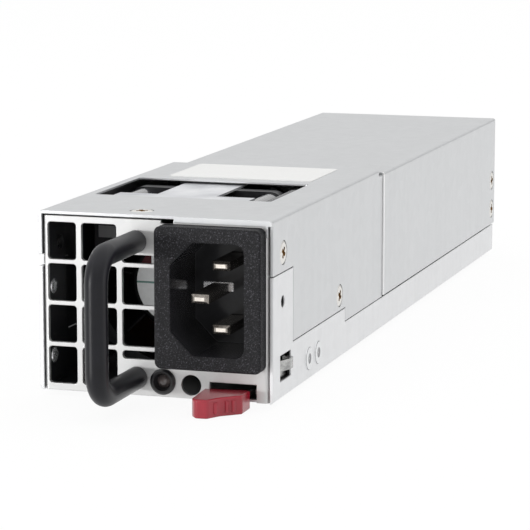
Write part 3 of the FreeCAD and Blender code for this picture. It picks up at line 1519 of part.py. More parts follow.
def cover_screws():
    """Flush screws of both covers: heads in the covers' holes, seated on the sheet below."""
    head = "screw_head / 2"
    rear_y = "case_length - rear_screw_in"
    screws = [cap_screw("top_screw", DOWN, ("top_screw_x", "top_screw_y", "panel_top"), head,
                        "case_height - panel_top", "screw_grip")]
    for side, way, sign in (("right", LEFT, ""), ("left", RIGHT, "-")):
        screws.append(cap_screw(f"front_screw_{side}", way,
                                (f"{sign}panel_side", "front_screw_y", "front_screw_z"), head,
                                "half - panel_side", "screw_grip"))
        screws.append(cap_screw(f"side_screw_{side}", way,
                                (f"{sign}wall_inside", "side_screw_y", "side_screw_z"), head,
                                "half - wall_inside", "side_grip"))
    for number in range(2):
        z = f"rear_screw_low + {number} * rear_screw_pitch"
        screws.append(cap_screw(f"rear_screw_right_{number}", LEFT,
                                ("rear_right - cover_sheet - seam", rear_y, z), head,
                                "cover_sheet + seam", "screw_grip"))
        screws.append(cap_screw(f"rear_screw_left_{number}", RIGHT,
                                ("rear_left + cover_sheet + seam", rear_y, z), head,
                                "cover_sheet + seam", "screw_grip"))
    return keep(group("cover_screws", screws), "cover_screws")


def top_label():
    body = new_body("top_label")
    plan = sketch_on(body, PLAN, "case_height")
    rounded(plan, "label_left", "label_y", "label_left + label_width", "label_y + label_length",
            "label_corner")
    pad(body, plan, "label_thickness")
    return keep(body, "top_label")


# Assembly -----------------------------------------------------------------------------------

base_chassis()
front_cover()
rear_cover()
front_panel()
rear_panel()
pull_handle()
handle_screws()
inlet_housing()
blade("line_pin", "blade_x", "inlet_z + blade_spacing / 2", "blade_recess")
blade("neutral_pin", "blade_x", "inlet_z - blade_spacing / 2", "blade_recess")
blade("earth_pin", "earth_x", "inlet_z", "earth_recess")
status_lamp()
latch_spring()
latch_rivets()
panel_rivets()
latch_arm()
release_tab()
fan_frame()
fan_rotor()
fan_small_parts()
main_board()
edge_contacts()
inlet_board()
filter_parts()
boost_choke()
bulk_capacitor()
heatsink("primary_heatsink", "sink_x", "sink_y", "sink_length", "sink_height")
transistors("primary_transistors", "sink_x", "sink_y", 3)
transformer()
output_capacitors()
control_board()
cover_screws()
top_label()

doc.recompute()
for thing in doc.Objects:
    if "Invalid" in thing.State or "Error" in thing.State:
        raise ValueError(f"{thing.Label} failed: {thing.State}")
    if thing.TypeId == "PartDesign::Pocket" and thing.Shape.Volume > thing.BaseFeature.Shape.Volume - 1e-3:
        raise ValueError(f"{thing.Name} cuts nothing")
os.makedirs("parts", exist_ok=True)
for thing in nodes:
    shape = thing.Shape
    if shape.isNull() or not shape.isValid():
        raise ValueError(thing.Label + " has no valid shape")
    shape.exportStep(f"parts/{thing.Label}.step")
print(len(nodes), "nodes written")
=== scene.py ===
import bpy
import bmesh
import math
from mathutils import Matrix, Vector


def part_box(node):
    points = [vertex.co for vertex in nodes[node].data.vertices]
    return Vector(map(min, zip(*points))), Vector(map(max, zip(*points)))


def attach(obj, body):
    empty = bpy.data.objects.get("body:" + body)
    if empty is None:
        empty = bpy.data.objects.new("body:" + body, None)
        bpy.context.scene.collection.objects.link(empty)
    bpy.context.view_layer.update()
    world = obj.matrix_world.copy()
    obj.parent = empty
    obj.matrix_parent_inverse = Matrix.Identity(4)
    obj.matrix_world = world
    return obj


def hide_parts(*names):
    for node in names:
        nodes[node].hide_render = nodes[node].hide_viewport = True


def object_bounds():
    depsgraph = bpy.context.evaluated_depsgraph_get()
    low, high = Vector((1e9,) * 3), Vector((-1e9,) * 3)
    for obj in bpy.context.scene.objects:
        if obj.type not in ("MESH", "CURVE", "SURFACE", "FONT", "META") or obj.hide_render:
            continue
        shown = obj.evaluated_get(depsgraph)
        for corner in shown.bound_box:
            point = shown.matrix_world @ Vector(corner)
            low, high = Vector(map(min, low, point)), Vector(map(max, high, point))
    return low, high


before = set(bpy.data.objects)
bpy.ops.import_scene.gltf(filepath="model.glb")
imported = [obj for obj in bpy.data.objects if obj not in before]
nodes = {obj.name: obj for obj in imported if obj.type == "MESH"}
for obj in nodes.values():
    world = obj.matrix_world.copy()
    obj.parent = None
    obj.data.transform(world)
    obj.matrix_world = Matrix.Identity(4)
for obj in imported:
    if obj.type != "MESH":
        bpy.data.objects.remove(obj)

mm = 0.001
cadBox = [list(map(float, corner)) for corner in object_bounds()]
print("frame loaded:", len(nodes), "nodes")


# camera
camera = {
    "place": (187.51, -518.88, 121.83),  # mm in the part's frame
    "turn": -17.3714,                    # degrees from +Y, where minus is towards -X
    "tilt": 9.5273,                      # degrees down
    "lens": 174.37, "sensor": 36,        # mm
    "clip": (0.01, 20),                  # m
}


def addCamera(settings):
    turn, tilt = math.radians(settings["turn"]), math.radians(settings["tilt"])
    aim = Vector((math.sin(turn) * math.cos(tilt), math.cos(turn) * math.cos(tilt),
                  -math.sin(tilt)))
    lensData = bpy.data.cameras.new("viewCamera")
    lensData.lens = settings["lens"]
    lensData.sensor_width = settings["sensor"]
    lensData.clip_start, lensData.clip_end = settings["clip"]
    seen = bpy.data.objects.new("viewCamera", lensData)
    seen.location = Vector(settings["place"]) * mm
    seen.rotation_euler = aim.to_track_quat("-Z", "Y").to_euler()
    bpy.context.scene.collection.objects.link(seen)
    bpy.context.scene.camera = seen


addCamera(camera)
bpy.context.scene.view_settings.view_transform = "Standard"


# material helpers

# the node of a kind that a new tree already holds
def nodeOf(tree, kind):
    return next(n for n in tree.nodes if n.type == kind)


# one node material: a principled shader and the nodes that feed it
class Finish:
    def __init__(self, name, color, roughness, metallic=0.0):
        self.material = bpy.data.materials.new(name)
        self.material.use_nodes = True
        self.tree = self.material.node_tree
        self.shader = nodeOf(self.tree, "BSDF_PRINCIPLED")
        self.shader.inputs["Base Color"].default_value = (*color, 1)
        self.shader.inputs["Roughness"].default_value = roughness
        self.shader.inputs["Metallic"].default_value = metallic
        self.place = self.add("ShaderNodeTexCoord").outputs["Object"]

    def add(self, kind, **settings):
        node = self.tree.nodes.new(kind)
        for key, setting in settings.items():
            setattr(node, key, setting)
        return node

    def join(self, source, target):
        self.tree.links.new(source, target)

    def stretched(self, scale):
        mapping = self.add("ShaderNodeMapping")
        mapping.inputs["Scale"].default_value = scale
        self.join(self.place, mapping.inputs["Vector"])
        return mapping.outputs["Vector"]

    def noise(self, scale, detail=4, stretch=(1, 1, 1), roughness=0.5):
        node = self.add("ShaderNodeTexNoise")
        node.inputs["Scale"].default_value = scale
        node.inputs["Detail"].default_value = detail
        node.inputs["Roughness"].default_value = roughness
        self.join(self.stretched(stretch), node.inputs["Vector"])
        return node.outputs["Fac"]

    def cells(self, scale, feature="F1"):
        node = self.add("ShaderNodeTexVoronoi", feature=feature)
        node.inputs["Scale"].default_value = scale
        self.join(self.stretched((1, 1, 1)), node.inputs["Vector"])
        return node.outputs["Color"] if feature == "F1" else node.outputs["Distance"]

    def ramp(self, source, stops):
        node = self.add("ShaderNodeValToRGB")
        band = node.color_ramp
        while len(band.elements) < len(stops):
            band.elements.new(0.5)
        for element, (place, tone) in zip(band.elements, stops):
            element.position = place
            tone = tone if isinstance(tone, tuple) else (tone, tone, tone)
            element.color = (*tone, 1)
        self.join(source, node.inputs["Fac"])
        return node.outputs["Color"]

    def math(self, operation, first, second=0.0, third=None):
        node = self.add("ShaderNodeMath", operation=operation)
        for socket, given in zip(node.inputs, (first, second, third)):
            if given is None:
                continue
            if isinstance(given, (int, float)):
                socket.default_value = given
            else:
                self.join(given, socket)
        return node.outputs[0]

    def mix(self, amount, first, second):
        node = self.add("ShaderNodeMix", data_type="RGBA")
        # the inputs of the other data types come between these
        for place, given in ((0, amount), (6, first), (7, second)):
            socket = node.inputs[place]
            if isinstance(given, (int, float)):
                socket.default_value = given
            elif isinstance(given, tuple):
                socket.default_value = (*given, 1)
            else:
                self.join(given, socket)
        return node.outputs[2]

    def axes(self):
        split = self.add("ShaderNodeSeparateXYZ")
        self.join(self.place, split.inputs[0])
        return split.outputs

    def color(self, source):
        self.join(source, self.shader.inputs["Base Color"])

    def rough(self, source):
        self.join(source, self.shader.inputs["Roughness"])

    # roughness that follows a source over its least value
    def sheen(self, source, swing, least):
        self.rough(self.math("MULTIPLY_ADD", source, swing, least))

    # small relief, over edges that are rounded by edge metres where it is given
    def bump(self, source, height, edge=0.0):
        node = self.add("ShaderNodeBump")
        node.inputs["Distance"].default_value = height
        self.join(source, node.inputs["Height"])
        if edge:
            worn = self.add("ShaderNodeBevel", samples=6)
            worn.inputs["Radius"].default_value = edge
            self.join(worn.outputs["Normal"], node.inputs["Normal"])
        self.join(node.outputs["Normal"], self.shader.inputs["Normal"])

    def fixed(self, **values):
        for name, given in values.items():
            self.shader.inputs[name.replace("_", " ")].default_value = given
        return self


# 1 on surfaces inside a box given by its two corners, 0 outside it
def inBox(finish, low, high):
    mask = None
    for axis, near, far in zip(finish.axes(), low, high):
        part = finish.math("MULTIPLY", finish.math("GREATER_THAN", axis, near),
                           finish.math("LESS_THAN", axis, far))
        mask = part if mask is None else finish.math("MULTIPLY", mask, part)
    return mask


# a piece's box, let out on each side by mm, or drawn in where that is minus
def grown(name, low, high):
    near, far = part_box(name)
    return ([c - g * mm for c, g in zip(near, low)],
            [c + g * mm for c, g in zip(far, high)])


# a tone made darker or lighter by a share
def scaled(tone, share):
    return tuple(min(1, c * share) for c in tone)


# a finish fed by noises of (scale, detail, stretch, roughness), where each entry names the noise
# that it follows: color has ramp stops, stain a share and a tone, sheen the swing and the least
# roughness, and relief a height in mm
def grained(name, look):
    finish = Finish(name, look["tone"], look["roughness"], look.get("metallic", 0.0))
    noises = {label: finish.noise(*given) for label, given in look["noises"].items()}
    source, stops = look["color"]
    tinted = finish.ramp(noises[source], stops)
    if "stain" in look:
        source, share, tone = look["stain"]
        tinted = finish.mix(finish.math("MULTIPLY", noises[source], share), tinted, tone)
    finish.color(tinted)
    source, swing, least = look["sheen"]
    finish.sheen(noises[source], swing, least)
    source, height = look["relief"]
    finish.bump(noises[source], height * mm, look.get("edge", 0.0) * mm)
    finish.fixed(**look.get("fixed", {}))
    return finish.material


# sheet metals
# the space behind the grille, where the sheets are painted near black and not metallic: painted
# shade
shadeBay = grown("front_cover", (-0.1, -1.75, 7.5), (-0.35, -2, -0.45))
# what all the zinc sheets share, with noises as in grained
zincTexture = {
    "spangle": 420, "spangleShare": 0.03,
    "grain": (2600, 5, (1, 1, 1), 0.7), "patches": (60, 3), "streaks": (420, 3),
    "shares": (0.40, 0.25, 0.35),          # of grain, patches and streaks in the tone
    "turn": (0.36, 0.62),                  # where the tone turns from dark to light
    "scuffs": (330, 6, (1, 1, 0.4), 0.75), "scuffTurn": (0.66, 0.72),
    "scuffShare": 0.12, "scuffTone": 0.66,
    "sheen": 0.10, "streakRelief": 0.5,
    # the near-white tone of a painted highlight along a cut edge
    "highlightTone": (0.97, 0.97, 0.97),
}


# rolled zinc-coated sheet: soft spangle, fine grain, rolling streaks and a few scuffs, with
# painted shade behind the grille and, where it is given, a painted highlight on a cut edge
def galvanisedSheet(name, settings, texture=zincTexture):
    light, metallic = settings["tone"], settings["metallic"]
    finish = Finish(name, light, settings["roughness"], metallic)
    spangle = finish.ramp(finish.cells(texture["spangle"]), [(0.0, 0.0), (1.0, 1.0)])
    grain = finish.noise(*texture["grain"])
    streaks = finish.noise(*texture["streaks"], settings["rolled"])
    blend = 0.0
    layers = (grain, finish.noise(*texture["patches"]), streaks)
    for layer, share in zip(layers, texture["shares"]):
        blend = finish.math("MULTIPLY_ADD", layer, share, blend)
    tones = (scaled(light, settings["depth"]), light)
    worn = finish.ramp(blend, list(zip(texture["turn"], tones)))
    worn = finish.mix(texture["spangleShare"], worn, spangle)
    scuff = finish.ramp(finish.noise(*texture["scuffs"]),
                        list(zip(texture["scuffTurn"], (0.0, 1.0))))
    worn = finish.mix(finish.math("MULTIPLY", scuff, texture["scuffShare"]), worn,
                      scaled(light, texture["scuffTone"]))
    # painted highlight along a cut edge
    if "edgeHighlight" in settings:
        worn = finish.mix(inBox(finish, *settings["edgeHighlight"]), worn, texture["highlightTone"])
    # painted shade: behind the grille the sheet takes the near-black inside tone and loses its
    # metal
    mask = inBox(finish, *shadeBay)
    finish.color(finish.mix(mask, worn, settings["inside"]))
    finish.sheen(grain, texture["sheen"], settings["roughness"] - texture["sheen"] / 2)
    finish.join(finish.math("MULTIPLY_ADD", mask, -metallic, metallic),
                finish.shader.inputs["Metallic"])
    finish.bump(finish.math("MULTIPLY_ADD", streaks, texture["streakRelief"], grain),
                settings["bump"] * mm, settings["edge"] * mm)
    return finish.material


# in each sheet below, inside is the near-black tone of the painted shade behind the grille
galvanised = galvanisedSheet("galvanisedSheet", {
    "tone": (0.77, 0.775, 0.785), "depth": 0.94, "roughness": 0.36, "metallic": 0.70,
    "rolled": (1, 1, 0.04), "bump": 0.006, "edge": 0.3, "inside": (0.012, 0.012, 0.014)})
coverLook = {
    "tone": (0.64, 0.65, 0.66), "depth": 0.95, "roughness": 0.34, "metallic": 0.78,
    "rolled": (1, 1, 0.04), "bump": 0.005, "edge": 0.2, "inside": (0.012, 0.012, 0.014)}
coverZinc = galvanisedSheet("coverZinc", coverLook)
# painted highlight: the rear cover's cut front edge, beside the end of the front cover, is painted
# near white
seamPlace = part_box("front_cover")[1]
highlightBand = ((seamPlace[0] - 0.1 * mm, seamPlace[1] - 0.3 * mm, 0),
           (1, seamPlace[1] + 0.75 * mm, 1))
rearZinc = galvanisedSheet("rearZinc", dict(coverLook, edgeHighlight=highlightBand))
panelZinc = galvanisedSheet("panelZinc", {
    "tone": (0.60, 0.60, 0.597), "depth": 0.95, "roughness": 0.38, "metallic": 0.60,
    "rolled": (0.06, 1, 1), "bump": 0.005, "edge": 0.2, "inside": (0.014, 0.014, 0.016)})


springLook = {
    "tone": (0.62, 0.62, 0.61), "roughness": 0.28, "metallic": 0.95,
    "noises": {"brushed": (1500, 3, (1, 0.05, 1))},
    "color": ("brushed", [(0.3, (0.30, 0.30, 0.30)), (0.7, (0.52, 0.52, 0.51))]),
    "sheen": ("brushed", 0.16, 0.12), "relief": ("brushed", 0.01),
}


# plated steel, with a warmer stain here and there
def zincFastener(name, tone, warmth):
    return grained(name, {
        "tone": tone, "roughness": 0.34, "metallic": 0.85,
        "noises": {"grain": (3000, 4), "stain": (260, 3)},
        "color": ("grain", [(0.3, scaled(tone, 0.8)), (0.7, tone)]),
        "stain": ("stain", warmth, (0.50, 0.36, 0.16)),
        "sheen": ("grain", 0.18, 0.26), "relief": ("grain", 0.008)})


bladeLook = {
    "tone": (0.84, 0.82, 0.78), "roughness": 0.18, "metallic": 0.9,
    "drawn": (1600, 2, (1, 0.03, 1)),
    "highlitTip": [(0.35, (0.82, 0.76, 0.69)), (0.65, (0.92, 0.86, 0.79))],
    "shadedSides": [(0.35, (0.20, 0.18, 0.16)), (0.65, (0.36, 0.33, 0.30))],
    "tip": (1.1, 0.38),          # mm: half the painted highlight's width and height
    "tipDepth": 0.04,            # mm that the painted highlight reaches round the end
    "sheen": (0.10, 0.18), "tipSheen": 0.25,
    "relief": 0.002,
}


# plated contact blade: a painted highlight in the middle of its end face, painted shade along its
# sides
def bladeNickel(pin, look):
    finish = Finish("bladeNickel_" + pin, look["tone"], look["roughness"], look["metallic"])
    drawn = finish.noise(*look["drawn"])
    low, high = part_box(pin)
    across, up = (low[0] + high[0]) / 2, (low[2] + high[2]) / 2
    wide, tall = (half * mm for half in look["tip"])
    tip = inBox(finish, (across - wide, low[1] - mm, up - tall),
                (across + wide, low[1] + look["tipDepth"] * mm, up + tall))
    highlitTip, shadedSides = (finish.ramp(drawn, look[part]) for part in ("highlitTip", "shadedSides"))
    # painted highlight on the end face, painted shade on the sides
    finish.color(finish.mix(tip, shadedSides, highlitTip))
    finish.sheen(tip, look["tipSheen"], finish.math("MULTIPLY_ADD", drawn, *look["sheen"]))
    finish.bump(drawn, look["relief"] * mm)
    return finish.material


def grainy(name, tone, roughness, metallic, scale, height, spread=0.25):
    return grained(name, {
        "tone": tone, "roughness": roughness, "metallic": metallic,
        "noises": {"grain": (scale, 5, (1, 1, 1), 0.65)},
        "color": ("grain", [(0.3, scaled(tone, 1 - spread)), (0.7, scaled(tone, 1 + spread))]),
        "sheen": ("grain", 0.2, roughness - 0.1), "relief": ("grain", height)})


springStrip = grained("springSteel", springLook)
zincScrew = zincFastener("zincScrew", (0.70, 0.70, 0.69), 0.25)
screwZinc = zincFastener("screwZinc", (0.88, 0.87, 0.84), 0.10)
rivetSteel = zincFastener("rivetSteel", (0.86, 0.87, 0.88), 0.0)
# painted shade: the darker finish of the rivets' rims, grooves and dimples
rivetShade = zincFastener("rivetShade", (0.34, 0.34, 0.35), 0.0)
rivetTail = grainy("rivetTail", (0.90, 0.90, 0.92), 0.26, 0.8, 1500, 0.004, 0.06)
# painted shade: a darker brown in the screws' cross recesses
recessShade = zincFastener("recessShade", (0.40, 0.24, 0.10), 0.7)
blades = {pin: bladeNickel(pin, bladeLook) for pin in ("line_pin", "neutral_pin", "earth_pin")}


# plastics, paint and film
# satin black coat of the bar handle, with a fine orange peel
handleLook = {
    "tone": (0.016, 0.016, 0.018), "roughness": 0.30,
    "noises": {"peel": (1300, 3), "dust": (120, 5, (1, 1, 1), 0.65)},
    "color": ("dust", [(0.35, (0.005, 0.005, 0.007)), (0.75, (0.008, 0.008, 0.012))]),
    "sheen": ("dust", 0.05, 0.32), "relief": ("peel", 0.0025),
    "fixed": {"Specular_IOR_Level": 0.28, "Anisotropic": 0.75, "Anisotropic_Rotation": 0.25},
}
# dark red moulding, a little paler where it is handled
latchLook = {
    "tone": (0.40, 0.032, 0.062), "roughness": 0.34,
    "noises": {"cloud": (160, 4, (1, 1, 1), 0.6), "fine": (2600, 3)},
    "color": ("cloud", [(0.3, (0.27, 0.008, 0.019)), (0.75, (0.35, 0.012, 0.030))]),
    "sheen": ("fine", 0.10, 0.20), "relief": ("fine", 0.004), "edge": 0.25,
    "fixed": {"Coat_Weight": 0.25, "Coat_Roughness": 0.05},
}
# silver film over the fan, creased a little
strapLook = {
    "tone": (0.66, 0.67, 0.69), "roughness": 0.34, "metallic": 0.6,
    "noises": {"crease": (95, 3, (1, 1, 1), 0.4), "fine": (1500, 3)},
    "color": ("crease", [(0.35, (0.56, 0.57, 0.60)), (0.65, (0.82, 0.83, 0.85))]),
    "sheen": ("fine", 0.12, 0.26), "relief": ("crease", 0.5),
}
goldLook = {
    "tone": (0.83, 0.58, 0.22), "roughness": 0.22, "metallic": 1.0,
    "noises": {"wear": (1900, 3, (1, 0.08, 1))},
    "color": ("wear", [(0.3, (0.70, 0.46, 0.16)), (0.7, (0.90, 0.66, 0.28))]),
    "sheen": ("wear", 0.2, 0.12), "relief": ("wear", 0.004),
}
# smoky clear lamp lens
lensLook = {
    "tone": (0.10, 0.085, 0.080), "roughness": 0.12,
    "noises": {"swirl": (700, 3)},
    "color": ("swirl", [(0.3, (0.045, 0.038, 0.036)), (0.7, (0.15, 0.125, 0.12))]),
    "sheen": ("swirl", 0.1, 0.08), "relief": ("swirl", 0.01),
    "fixed": {"Coat_Weight": 0.6, "Coat_Roughness": 0.06},
}
inletLook = {
    "tone": (0.030, 0.029, 0.033), "roughness": 0.46,
    "cavity": (8.6, 12.6),        # mm: half its width and height
    "cavityStart": 0.25,          # mm from the rim
    "pebble": (3600, 4, (1, 1, 1), 0.75), "cloud": (160, 4),
    # the last stop gives the pebbles' bright specks: painted glints
    "skinAndGlints": [(0.42, (0.003, 0.003, 0.004)), (0.57, (0.008, 0.008, 0.010)),
             (0.69, (0.12, 0.115, 0.135))],
    "smooth": [(0.35, (0.016, 0.016, 0.018)), (0.7, (0.028, 0.028, 0.032))],
    "skinSheen": [(0.35, 0.62), (0.7, 0.46)], "smoothSheen": (0.13, 0.13, 0.13),
    "relief": 0.045, "edge": 0.3,
    "gloss": 0.25,
}


# black moulding with the pebbled skin of a spark-eroded mould, smooth in its cavity; the bright
# specks on the pebbles are painted glints
def sparkPlastic(look):
    finish = Finish("inletMoulding", look["tone"], look["roughness"])
    low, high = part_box("inlet_housing")
    middle = [(a + b) / 2 for a, b in zip(low, high)]
    wide, tall = (half * mm for half in look["cavity"])
    cavity = inBox(finish,
                   (middle[0] - wide, low[1] + look["cavityStart"] * mm, middle[2] - tall),
                   (middle[0] + wide, high[1], middle[2] + tall))
    pebble = finish.noise(*look["pebble"])
    skinAndGlints = finish.ramp(pebble, look["skinAndGlints"])
    smooth = finish.ramp(finish.noise(*look["cloud"]), look["smooth"])
    finish.color(finish.mix(cavity, skinAndGlints, smooth))
    finish.rough(finish.mix(cavity, finish.ramp(pebble, look["skinSheen"]), look["smoothSheen"]))
    relief = finish.math("MULTIPLY", pebble, finish.math("SUBTRACT", 1.0, cavity))
    finish.bump(relief, look["relief"] * mm, look["edge"] * mm)
    finish.fixed(Specular_IOR_Level=look["gloss"])
    return finish.material


def fanPlastic(name, tone, roughness, gloss=0.5, coat=0.0):
    return grained(name, {
        "tone": tone, "roughness": roughness, "noises": {"grain": (1800, 4)},
        "color": ("grain", [(0.3, scaled(tone, 0.75)), (0.75, scaled(tone, 1.3))]),
        "sheen": ("grain", 0.15, roughness - 0.07), "relief": ("grain", 0.010),
        "fixed": {"Specular_IOR_Level": gloss, "Coat_Weight": coat, "Coat_Roughness": 0.1}})


# blank film label: faint fibre and slight soiling
def labelFilm(name, tone, soiling):
    return grained(name, {
        "tone": tone, "roughness": 0.50,
        "noises": {"fibre": (1500, 5, (1, 0.5, 1), 0.7), "soil": (110, 4)},
        "color": ("fibre", [(0.25, scaled(tone, 0.95)), (0.7, tone)]),
        "stain": ("soil", soiling, (0.60, 0.60, 0.58)),
        "sheen": ("fibre", 0.16, 0.40), "relief": ("fibre", 0.006)})


hubLook = {
    "tone": (0.88, 0.89, 0.89), "roughness": 0.36, "metallic": 0.5,
    "fibre": (900, 4), "paper": [(0.3, (0.84, 0.85, 0.85)), (0.7, (0.92, 0.93, 0.93))],
    "rule": 0.22, "ruleTone": (0.16, 0.30, 0.26),        # mm: half the rule's height
    "cornerUp": 4.4, "cornerLeft": 6.0,                  # mm from the middle
    "cornerTone": (0.06, 0.003, 0.006),
    "sheen": (0.16, 0.26), "relief": 0.005,
}


# blank round label of the fan's hub, with one thin rule across its middle and a dark red corner
def hubDisc(look):
    finish = Finish("hubLabel", look["tone"], look["roughness"], look["metallic"])
    low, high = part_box("fan_hub_label")
    middle = (low[2] + high[2]) / 2
    fibre = finish.noise(*look["fibre"])
    paper = finish.ramp(fibre, look["paper"])
    away = finish.math("ABSOLUTE", finish.math("SUBTRACT", finish.axes()[2], middle))
    rule = finish.math("LESS_THAN", away, look["rule"] * mm)
    inked = finish.mix(rule, paper, look["ruleTone"])
    corner = inBox(finish, (low[0] - mm, low[1] - mm, middle + look["cornerUp"] * mm),
                   ((low[0] + high[0]) / 2 - look["cornerLeft"] * mm, high[1] + mm, high[2] + mm))
    finish.color(finish.mix(corner, inked, look["cornerTone"]))
    finish.sheen(fibre, *look["sheen"])
    finish.bump(fibre, look["relief"] * mm)
    return finish.material


handleCoat = grained("handleCoat", handleLook)
inletMoulding = sparkPlastic(inletLook)
latchMoulding = grained("latchMoulding", latchLook)
fanMoulding = fanPlastic("fanMoulding", (0.014, 0.014, 0.017), 0.32)
# painted highlight: the corner posts take a lighter copy of the fan's black moulding
litPostMoulding = fanPlastic("litPostMoulding", (0.050, 0.050, 0.056), 0.20, 1.0, 1.0)
# painted shade: the rotor takes a darker copy of the fan's black moulding
shadedVaneMoulding = fanPlastic("shadedVaneMoulding", (0.005, 0.005, 0.006), 0.55, 0.15)
lampMoulding = fanPlastic("lampMoulding", (0.010, 0.010, 0.011), 0.32)
deviceMoulding = fanPlastic("deviceMoulding", (0.030, 0.030, 0.030), 0.5)
coverLabel = labelFilm("coverLabel", (0.79, 0.79, 0.78), 0.10)
greyFilm = labelFilm("greyFilm", (0.30, 0.30, 0.31), 0.05)
hubLabel = hubDisc(hubLook)
strapFilm = grained("strapFilm", strapLook)


# soft sleeve, a little streaked along its length
def wireSleeve(name, tone):
    return grained(name, {
        "tone": tone, "roughness": 0.22, "noises": {"ribs": (700, 3, (1, 0.2, 1))},
        "color": ("ribs", [(0.3, scaled(tone, 0.7)), (0.8, scaled(tone, 1.4))]),
        "sheen": ("ribs", 0.2, 0.14), "relief": ("ribs", 0.03)})


circuitLook = {
    "tone": (0.02, 0.13, 0.06), "roughness": 0.30,
    "tracks": 260, "trackEdge": [(0.05, 1.0), (0.09, 0.0)],
    "trackShare": 0.6, "trackTone": (0.05, 0.24, 0.10),
    "weave": (2600, 2), "ground": [(0.3, (0.010, 0.085, 0.040)), (0.7, (0.020, 0.13, 0.06))],
    "sheen": (0.15, 0.24), "relief": 0.02,
}


# green solder mask with copper areas just showing through it
def circuitMask(look):
    finish = Finish("circuitMask", look["tone"], look["roughness"])
    tracks = finish.ramp(finish.cells(look["tracks"], "DISTANCE_TO_EDGE"), look["trackEdge"])
    weave = finish.noise(*look["weave"])
    finish.color(finish.mix(finish.math("MULTIPLY", tracks, look["trackShare"]),
                            finish.ramp(weave, look["ground"]), look["trackTone"]))
    finish.sheen(weave, *look["sheen"])
    finish.bump(tracks, look["relief"] * mm)
    return finish.material


copperLook = {
    "tone": (0.50, 0.20, 0.08), "roughness": 0.28, "metallic": 0.8,
    "turns": 320, "color": [(0.2, (0.24, 0.08, 0.03)), (0.8, (0.62, 0.27, 0.11))],
    "varnish": 900, "sheen": (0.2, 0.2), "relief": 0.15,
}


# close turns of enamelled wire, seen as fine ridges
def enamelCopper(look):
    finish = Finish("enamelCopper", look["tone"], look["roughness"], look["metallic"])
    turns = finish.add("ShaderNodeTexWave", wave_type="BANDS", bands_direction="Z")
    turns.inputs["Scale"].default_value = look["turns"]
    finish.join(finish.stretched((1, 1, 1)), turns.inputs["Vector"])
    finish.color(finish.ramp(turns.outputs["Fac"], look["color"]))
    finish.sheen(finish.noise(look["varnish"]), *look["sheen"])
    finish.bump(turns.outputs["Fac"], look["relief"] * mm)
    return finish.material


fanSleeve = wireSleeve("fanSleeve", (0.018, 0.018, 0.020))
supplyWire = wireSleeve("supplyWire", (0.16, 0.012, 0.02))
circuit = circuitMask(circuitLook)
gold = grained("goldContact", goldLook)
copperWire = enamelCopper(copperLook)
ferrite = grainy("ferriteCore", (0.055, 0.055, 0.060), 0.6, 0.1, 1600, 0.03)
canSleeve = grainy("canSleeve", (0.020, 0.024, 0.050), 0.3, 0.0, 500, 0.01)
sinkAlloy = grainy("sinkAlloy", (0.55, 0.56, 0.58), 0.42, 0.9, 2200, 0.01, 0.12)
boxYellow = grainy("boxYellow", (0.52, 0.36, 0.06), 0.45, 0.0, 1200, 0.02, 0.12)
fuseGlass = grainy("fuseGlass", (0.42, 0.44, 0.43), 0.15, 0.0, 600, 0.005, 0.1)
filmBlack = grainy("filmBlack", (0.016, 0.016, 0.018), 0.35, 0.0, 900, 0.01)
lampLens = grained("lampLens", lensLook)
print("materials made")


# CAD nodes take their finishes
finishes = {
    "base_chassis": galvanised, "front_cover": coverZinc, "rear_cover": rearZinc,
    "front_panel": panelZinc, "rear_panel": galvanised, "pull_handle": handleCoat,
    "handle_screws": zincScrew, "inlet_housing": inletMoulding, **blades,
    "lamp_bezel": lampMoulding, "lamp_lens": lampLens, "latch_spring": springStrip,
    "latch_rivets": zincScrew, "panel_rivets": zincScrew, "latch_arm": springStrip,
    "release_tab": latchMoulding,
    "fan_frame": fanMoulding, "fan_rotor": shadedVaneMoulding, "fan_hub_label": hubLabel,
    "fan_shaft": zincScrew, "fan_bearings": zincScrew, "fan_stator": copperWire,
    "fan_strap": strapFilm, "fan_lead": fanSleeve, "air_baffle": filmBlack,
    "main_board": circuit, "board_standoffs": zincScrew, "board_screws": zincScrew,
    "insulation_sheet": filmBlack, "edge_contacts": gold, "inlet_board": circuit,
    "filter_choke": ferrite, "inlet_wires": supplyWire, "filter_capacitor": boxYellow,
    "input_fuse": fuseGlass, "boost_choke": copperWire, "bulk_capacitor": canSleeve,
    "primary_heatsink": sinkAlloy, "primary_transistors": deviceMoulding,
    "transformer_core": ferrite, "transformer_winding": copperWire,
    "output_capacitors": canSleeve, "control_board": circuit,
    "cover_screws": zincScrew, "top_label": coverLabel,
}
for name, node in nodes.items():
    node.data.materials.clear()
    node.data.materials.append(finishes[name])
print("finishes given to", len(nodes), "nodes")


# what repeats is made with geometry nodes, from the places of the CAD node's own pieces

# corners and points of each loose piece of a CAD node, in order of place
def piecesOf(name, weld=0.02 * mm):
    copy = bmesh.new()
    copy.from_mesh(nodes[name].data)
    bmesh.ops.remove_doubles(copy, verts=copy.verts, dist=weld)
    left = set(copy.verts)
    found = []
    while left:
        reached, waiting = set(), [left.pop()]
        while waiting:
            vertex = waiting.pop()
            reached.add(vertex)
            for edge in vertex.link_edges:
                other = edge.other_vert(vertex)
                if other in left:
                    left.discard(other)
                    waiting.append(other)
        points = [v.co.copy() for v in reached]
        low = Vector([min(p[i] for p in points) for i in range(3)])
        high = Vector([max(p[i] for p in points) for i in range(3)])
        found.append({"low": low, "high": high, "points": points})
    copy.free()
    return sorted(found, key=lambda piece: tuple(round(c, 4) for c in piece["low"]))


